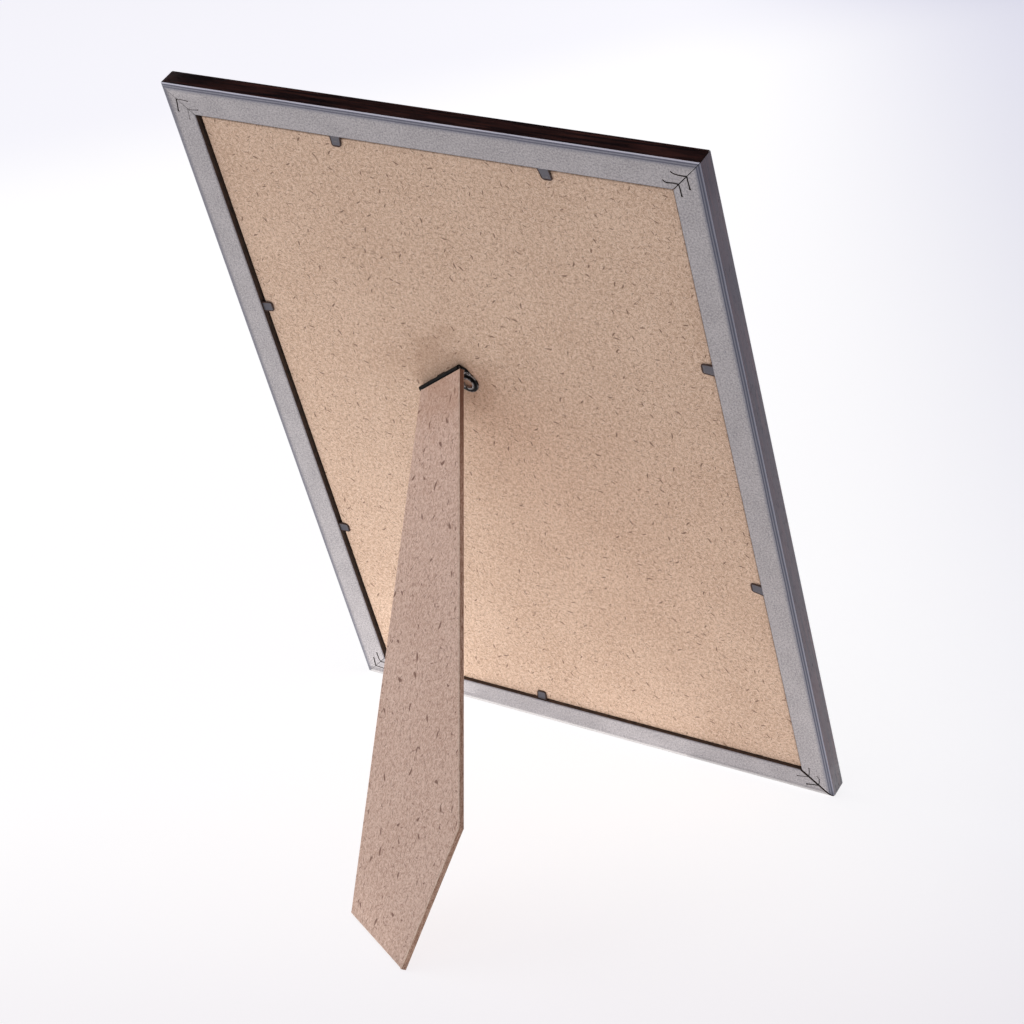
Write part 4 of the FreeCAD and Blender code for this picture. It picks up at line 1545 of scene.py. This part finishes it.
@dataclass
class Strut:
    """The strut: hardboard with sawn edges, hinged at its top."""

    stance: Stance
    effects: Effects
    arris: float = 0.35 * MM
    spacing: float = 0.9 * MM
    jitter: float = 0.05 * MM
    inset: float = 2.2 * 0.05 * MM
    rag_scale: float = 700.0
    layer_scale: float = 900.0
    straight: float = math.pi - 0.02

    FACE = 0
    EDGE = 1
    # The arris strips' zone, pale with a painted highlight
    HIGHLIT_ARRIS = 2

    def outline(self) -> tuple[list[Pair], float]:
        """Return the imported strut's corners in the hinge's plane, and its thickness.

        Returns:
            The corners in order, and the thickness.
        """
        inverse = self.stance.opened.inverted()
        local = [inverse @ vertex.co for vertex in frame["nodes"]["strut"].data.vertices]
        inner = [point.to_2d() for point in local if abs(point.z) < self.arris / 2]
        hull = [inner[number] for number in geometry.convex_hull_2d(inner)]
        apart = []
        for number, here in enumerate(hull):
            if (hull[number - 1] - here).length > MM / 10:
                apart.append(here)
        corners = []
        for number, here in enumerate(apart):
            before = apart[number - 1] - here
            after = apart[(number + 1) % len(apart)] - here
            if before.angle(after) < self.straight:
                corners.append((here.x, here.y))
        return corners, max(point.z for point in local)

    def edge_points(self) -> tuple[list[Vector], list[Vector], float]:
        """Return close points along the outline, their outward directions and the thickness.

        Returns:
            The points, a direction for each, and the thickness.
        """
        corners, thickness = self.outline()
        middle = Vector((sum(x for x, y in corners), sum(y for x, y in corners))) / len(corners)
        points = []
        outward = []
        for number, corner in enumerate(corners):
            start = Vector(corner)
            finish = Vector(corners[(number + 1) % len(corners)])
            run = finish - start
            count = max(int(run.length / self.spacing), 2)
            normal = Vector((run.y, -run.x)).normalized()
            if normal.dot((start + finish) / 2 - middle) < 0:
                normal.negate()
            for step in range(count):
                points.append(start + run * step / count)
                outward.append(normal)
        return points, outward, thickness

    def build(self) -> None:
        """Build the strut with its torn edges."""
        points, outward, thickness = self.edge_points()
        levels = [
            (0.0, self.arris * 0.5), (self.arris * 0.5, 0.0), (thickness * 0.3, 0.0),
            (thickness * 0.5, 0.0), (thickness * 0.7, 0.0), (thickness - self.arris, 0.0),
            (thickness, self.arris),
        ]
        rings = []
        for height, drawn in levels:
            ring = []
            for point, normal in zip(points, outward):
                across, along = point * self.rag_scale
                seed = Vector((across, along, height * self.layer_scale))
                rough = noise.noise(seed) * self.jitter
                moved = point - normal * (drawn + self.inset + rough)
                ring.append(Vector((moved.x, moved.y, height)))
            rings.append(ring)
        # Both arris strips carry the pale painted highlight
        bands = [self.HIGHLIT_ARRIS] + [self.EDGE] * (len(levels) - 3) + [self.HIGHLIT_ARRIS]
        blank = Blank()
        blank.loft(rings, [[band] * len(points) for band in bands], self.FACE)
        place = self.stance.opened
        face = Hardboard(
            "strut hardboard", place, False, pigment(213, 185, 170), pigment(181, 149, 133),
            pigment(228, 202, 188), pigment(104, 70, 58), 0.5, 2.7 * MM, pigment(164, 124, 100),
            self.stance.hinge.translation, 0.75, 0.085,
        )
        pin = self.stance.hinge.translation
        # Colour of the painted shade on the sawn edges near the hinge
        painted_shade = pigment(112, 76, 60)
        edge = SawnEdge(
            "strut sawn edge", place, pigment(216, 180, 160), pigment(146, 105, 84), painted_shade, 0.9, pin
        )
        # The painted highlight along the strut's arrises
        pale = pigment(240, 216, 198)
        worn = SawnEdge("strut arris painted highlight", place, pale, pigment(204, 174, 155), painted_shade, 0.1, pin)
        finishes = (face, edge, worn)
        materials = [finish.material(self.effects) for finish in finishes]
        piece = blank.to_object("strut_board", place, materials)
        settle(piece, "strut", "strut_hardboard", "strut")


@dataclass(frozen=True)
class WornEnamel(Finish):
    """Black enamel, worn through to bright steel round the hanger's eyelet."""

    label: str
    eyelet: Vector
    black: Colour
    grey: Colour
    steel: Colour
    hole_start: float = 2.2 * MM
    hole_end: float = 3.4 * MM
    rim_start: float = 4.1 * MM
    rim_end: float = 4.9 * MM
    rim_fade: float = 1.5 * MM

    def mix(self, bench: Surface) -> None:
        """Lay dull patches over black, and bare steel in broken patches near the eyelet.

        Args:
            bench: the finish's nodes.
        """
        place = bench.add("ShaderNodeTexCoord").outputs["Object"]
        spread = bench.distance(self.eyelet)
        inside = bench.step(spread, self.hole_start, self.hole_end, 1.0, 0.0)
        outside = bench.step(spread, self.rim_start, self.rim_end, 0.0, 1.0)
        near = bench.step(spread, self.rim_end, self.rim_end + self.rim_fade, 1.0, 0.0)
        rims = bench.times(bench.plus(inside, outside), near)
        blotch = bench.noise(place, 1.5 * MM, 3.0, 0.65)
        dust = bench.noise(place, 0.35 * MM, 2.0, 0.6)
        worn = bench.times(rims, bench.step(blotch, 0.42, 0.54))
        ground = bench.mix(bench.step(dust, 0.5, 0.75), self.black, self.grey)
        ground = bench.mix(worn, ground, self.steel)
        bench.coat("Base Color", ground)
        bench.coat("Metallic", bench.times(worn, 0.9))
        bench.coat("Roughness", bench.step(blotch, 0.3, 0.7, 0.28, 0.5))
        bench.coat("Specular IOR Level", 0.07)
        bench.coat("Normal", bench.bump(dust, 0.02 * MM))


@dataclass
class HingeParts:
    """The strut's hinge: two leaves, a pin and two rivets."""

    effects: Effects

    def build(self) -> None:
        """Dress the hinge."""
        mounts = frame["record"]["mounts"]
        hole = next(mount for mount in mounts if mount["name"] == "hanger_eyelet")
        enamel = WornEnamel(
            "black enamel", Vector(hole["pos_m"]), pigment(8, 8, 9), pigment(25, 24, 26),
            pigment(186, 184, 186),
        )
        plated = pigment(58, 58, 62)
        steel = Metal("dark plated steel", plated, pigment(140, 140, 142), 0.9, 0.32, 0.5)
        for node in ("hinge_board_leaf", "hinge_strut_leaf"):
            dress(node, enamel.material(self.effects))
        for node in ("hinge_pin", "hinge_rivets"):
            dress(node, steel.material(self.effects))


@dataclass(frozen=True)
class Fade:
    """How the table's glow falls off along one direction."""

    x: float
    y: float
    start: float
    end: float
    left: Colour

    def lay(self, bench: Bench, x: object, y: object, glow: object) -> Socket:
        """Return the glow's colour with this falloff.

        Args:
            bench: where the nodes are added.
            x: the point's X on the table.
            y: the point's Y on the table.
            glow: the colour without it.

        Returns:
            The colour with it.
        """
        along = bench.math("MULTIPLY_ADD", x, self.x, bench.times(y, self.y))
        return bench.mix(bench.step(along, self.start, self.end), glow, self.left, "MULTIPLY")


@dataclass(frozen=True)
class Lamp:
    """A round soft lamp: its middle, the point that it faces, its diameter and its watts."""

    name: str
    place: Triple
    aim: Triple
    size: float
    power: float
    colour: Triple = (1.0, 1.0, 1.0)
    shadow: bool = True

    def hang(self) -> None:
        """Set the lamp, which neither the eye nor a reflection sees."""
        light = bpy.data.lights.new(self.name, "AREA")
        light.shape = "DISK"
        light.size = self.size
        light.energy = self.power
        light.color = self.colour
        light.use_shadow = self.shadow
        lamp = bpy.data.objects.new(self.name, light)
        bpy.context.scene.collection.objects.link(lamp)
        lamp.location = self.place
        lamp.visible_camera = False
        lamp.visible_glossy = False
        lamp.visible_transmission = False
        lamp.rotation_mode = "QUATERNION"
        facing = Vector(self.aim) - Vector(self.place)
        lamp.rotation_quaternion = facing.to_track_quat("-Z", "Y")


def level_sheet(name: str, half: float, height: float) -> bpy.types.Object:
    """Make a level square sheet about the model's middle.

    Args:
        name: its name.
        half: half its side.
        height: how high it lies.

    Returns:
        The sheet.
    """
    corners = [(x * half, y * half, height) for x, y in ((-1, -1), (1, -1), (1, 1), (-1, 1))]
    mesh = bpy.data.meshes.new(name)
    mesh.from_pydata(corners, [], [(0, 1, 2, 3)])
    sheet = bpy.data.objects.new(name, mesh)
    bpy.context.scene.collection.objects.link(sheet)
    return sheet


@dataclass
class Studio:
    """Floor, light and camera."""

    stance: Stance
    focal_length: float = 99.342
    sensor: float = 36.0
    position: Triple = (-1.78083, 2.06022, 2.69100)
    look: Triple = (0.50499354, -0.57690192, -0.64200133)
    up: Triple = (0.19362077, -0.64913821, 0.73561579)
    floor_half: float = 14.0
    table_share: float = 0.25
    near_glow: Colour = (1.0, 0.99, 1.0, 1.0)
    fades: tuple[Fade, ...] = (
        Fade(-0.859, -0.511, 0.105, 0.56, (0.60, 0.605, 0.72, 1.0)),
        Fade(0.983, -0.183, 0.929, 1.203, (0.90, 0.90, 0.955, 1.0)),
        Fade(-0.637, 0.771, -0.078, 0.408, (0.773, 0.743, 0.786, 1.0)),
    )
    reflected: Fade = Fade(-0.60, -0.63, -0.1, 0.8, (0.755, 0.753, 0.82, 1.0))
    air_light: float = 0.37
    table_light: float = 0.367
    table_warm: Triple = (1.0, 0.985, 0.95)
    table_seen: float = 0.849
    strip_light: float = 0.26
    strip_line: float = 0.11
    strip_near: Pair = (0.02, 0.07)
    strip_aside: Pair = (0.09, 0.17)
    ceiling_half: float = 3.2
    ceiling_height: float = 1.5

    def build_camera(self) -> None:
        """Set the camera, whose position is given in heights of the upright frame."""
        turn = self.stance.upright.to_3x3()
        back = -(turn @ Vector(self.look)).normalized()
        up = (turn @ Vector(self.up)).normalized()
        right = up.cross(back).normalized()
        up = back.cross(right)
        lens = bpy.data.cameras.new("camera")
        lens.sensor_width = self.sensor
        lens.lens = self.focal_length
        lens.clip_start = 0.01
        lens.clip_end = 100.0
        camera = bpy.data.objects.new("camera", lens)
        bpy.context.scene.collection.objects.link(camera)
        place = Matrix((right, up, back)).transposed().to_4x4()
        place.translation = self.stance.upright @ (Vector(self.position) * self.stance.height)
        camera.matrix_world = place
        bpy.context.scene.camera = camera

    def table_colour(self, bench: Bench, x: Socket, y: Socket) -> Socket:
        """Return the table's colour to the eye, and to a reflection.

        Args:
            bench: where the nodes are added.
            x: the point's X.
            y: the point's Y.

        Returns:
            The colour.
        """
        faded = self.near_glow
        for fade in self.fades:
            faded = fade.lay(bench, x, y, faded)
        eye = bench.add("ShaderNodeLightPath").outputs["Is Camera Ray"]
        return bench.mix(eye, self.reflected.lay(bench, x, y, self.near_glow), faded)

    def strip_glow(self, bench: Bench, x: Socket, y: Socket) -> Socket:
        """Return what the table adds to its light by the frame's lower corners.

        Args:
            bench: where the nodes are added.
            x: the point's X.
            y: the point's Y.

        Returns:
            The strength.
        """
        aside = bench.step(bench.math("ABSOLUTE", x), *self.strip_aside, 1.0, 0.0)
        beside = bench.math("ABSOLUTE", bench.plus(y, self.strip_line))
        near = bench.step(beside, *self.strip_near, 1.0, 0.0)
        return bench.times(bench.times(aside, near), self.strip_light)

    def build_floor(self) -> None:
        """Lay the glowing table, near white to the eye, which keeps the object's shadow."""
        floor = level_sheet("floor", self.floor_half, 0.0)
        material = bpy.data.materials.new("table")
        material.use_nodes = True
        material.cycles.emission_sampling = "NONE"
        bench = Bench(material.node_tree)
        material.node_tree.nodes.clear()
        seen = self.add_seen(bench)
        x, y = bench.parts(bench.add("ShaderNodeTexCoord").outputs["Object"])[:2]
        lit = bench.add("ShaderNodeBsdfDiffuse")
        lit.inputs["Color"].default_value = (self.table_share,) * 3 + (1.0,)
        glow = bench.add("ShaderNodeEmission")
        bench.feed(glow.inputs["Color"], self.table_colour(bench, x, y))
        unseen = bench.plus(self.strip_glow(bench, x, y), self.table_light)
        unseen = bench.times(bench.less(1.0, seen), unseen)
        bench.feed(glow.inputs["Strength"], bench.plus(bench.times(seen, self.table_seen), unseen))
        shown = bench.add("ShaderNodeAddShader")
        bench.feed(shown.inputs[0], lit.outputs[0])
        bench.feed(shown.inputs[1], glow.outputs[0])
        output = bench.add("ShaderNodeOutputMaterial")
        bench.feed(output.inputs["Surface"], shown.outputs[0])
        floor.data.materials.append(material)

    @staticmethod
    def add_seen(bench: Bench) -> Socket:
        """Return 1 where a ray from the eye, a reflection or glass meets the background.

        Args:
            bench: where the nodes are added.

        Returns:
            1 or 0.
        """
        rays = bench.add("ShaderNodeLightPath")
        seen = bench.math("MAXIMUM", rays.outputs["Is Camera Ray"], rays.outputs["Is Glossy Ray"])
        return bench.math("MAXIMUM", seen, rays.outputs["Is Transmission Ray"])

    def build_world(self) -> None:
        """Light everything evenly, and show white where the eye or a reflection looks past."""
        world = bpy.data.worlds.new("studio")
        bpy.context.scene.world = world
        world.use_nodes = True
        bench = Bench(world.node_tree)
        world.node_tree.nodes.clear()
        light = bench.add("ShaderNodeBackground")
        light.inputs["Color"].default_value = pigment(250, 249, 255)
        light.inputs["Strength"].default_value = self.air_light
        white = bench.add("ShaderNodeBackground")
        white.inputs["Color"].default_value = pigment(250, 249, 254)
        white.inputs["Strength"].default_value = 1.0
        shown = bench.add("ShaderNodeMixShader")
        bench.feed(shown.inputs[0], self.add_seen(bench))
        bench.feed(shown.inputs[1], light.outputs[0])
        bench.feed(shown.inputs[2], white.outputs[0])
        output = bench.add("ShaderNodeOutputWorld")
        bench.feed(output.inputs["Surface"], shown.outputs[0])

    def build_ceiling(self) -> None:
        """Hang the studio's dark ceiling, which only reflections show."""
        card = level_sheet("dark_ceiling", self.ceiling_half, self.ceiling_height)
        card.visible_camera = False
        card.visible_diffuse = False
        card.visible_transmission = False
        card.visible_shadow = False
        material = bpy.data.materials.new("black cloth")
        material.use_nodes = True
        shader = material.node_tree.nodes["Principled BSDF"]
        shader.inputs["Base Color"].default_value = pigment(20, 20, 22)
        shader.inputs["Roughness"].default_value = 1.0
        shader.inputs["Specular IOR Level"].default_value = 0.0
        card.data.materials.append(material)

    def lamps(self) -> list[Lamp]:
        """Return the light panels low over the table and the softboxes round it.

        Returns:
            The lamps.
        """
        lamps = []
        for name, x, y, z, size, power in (
            ("table_panel_wide", 0.335, -0.06, 0.004, 0.56, 0.51),
            ("table_panel", 0.12, 0.00, 0.001, 0.40, 0.205),
            ("table_panel_far", -0.12, 0.00, 0.003, 0.30, 0.06),
            ("table_panel_side", -0.24, -0.07, 0.002, 0.24, 0.10),
        ):
            lamps.append(Lamp(name, (x, y, z), (x, y, 1.0), size, power, self.table_warm))
        middle = (0.0, 0.03, 0.15)
        lamps.append(Lamp("side_softbox", (1.6, 0.9, 0.9), middle, 2.2, 18.0))
        lamps.append(Lamp("back_softbox", (0.0, 2.0, 0.6), middle, 1.2, 4.6))
        lamps.append(Lamp("front_softbox", (0.4, -2.2, 1.1), middle, 1.2, 11.0, shadow=False))
        return lamps

    def build(self) -> None:
        """Set up the studio."""
        bpy.context.scene.view_settings.view_transform = "Standard"
        self.build_camera()
        self.build_floor()
        self.build_world()
        self.build_ceiling()
        for lamp in self.lamps():
            lamp.hang()


def main() -> None:
    """Build the studio and every piece in order."""
    logging.basicConfig(level=logging.INFO, format="%(name)s %(message)s")
    stance = Stance.from_record(frame["record"], frame["nodes"])
    effects = Effects()
    for part in (
        Studio(stance),
        Moulding(stance, effects),
        Tabs(stance, effects),
        Panels(stance, effects),
        Strut(stance, effects),
        HingeParts(effects),
    ):
        part.build()
        LOG.info("%s is done", type(part).__name__)


if __name__ == "__main__":
    main()
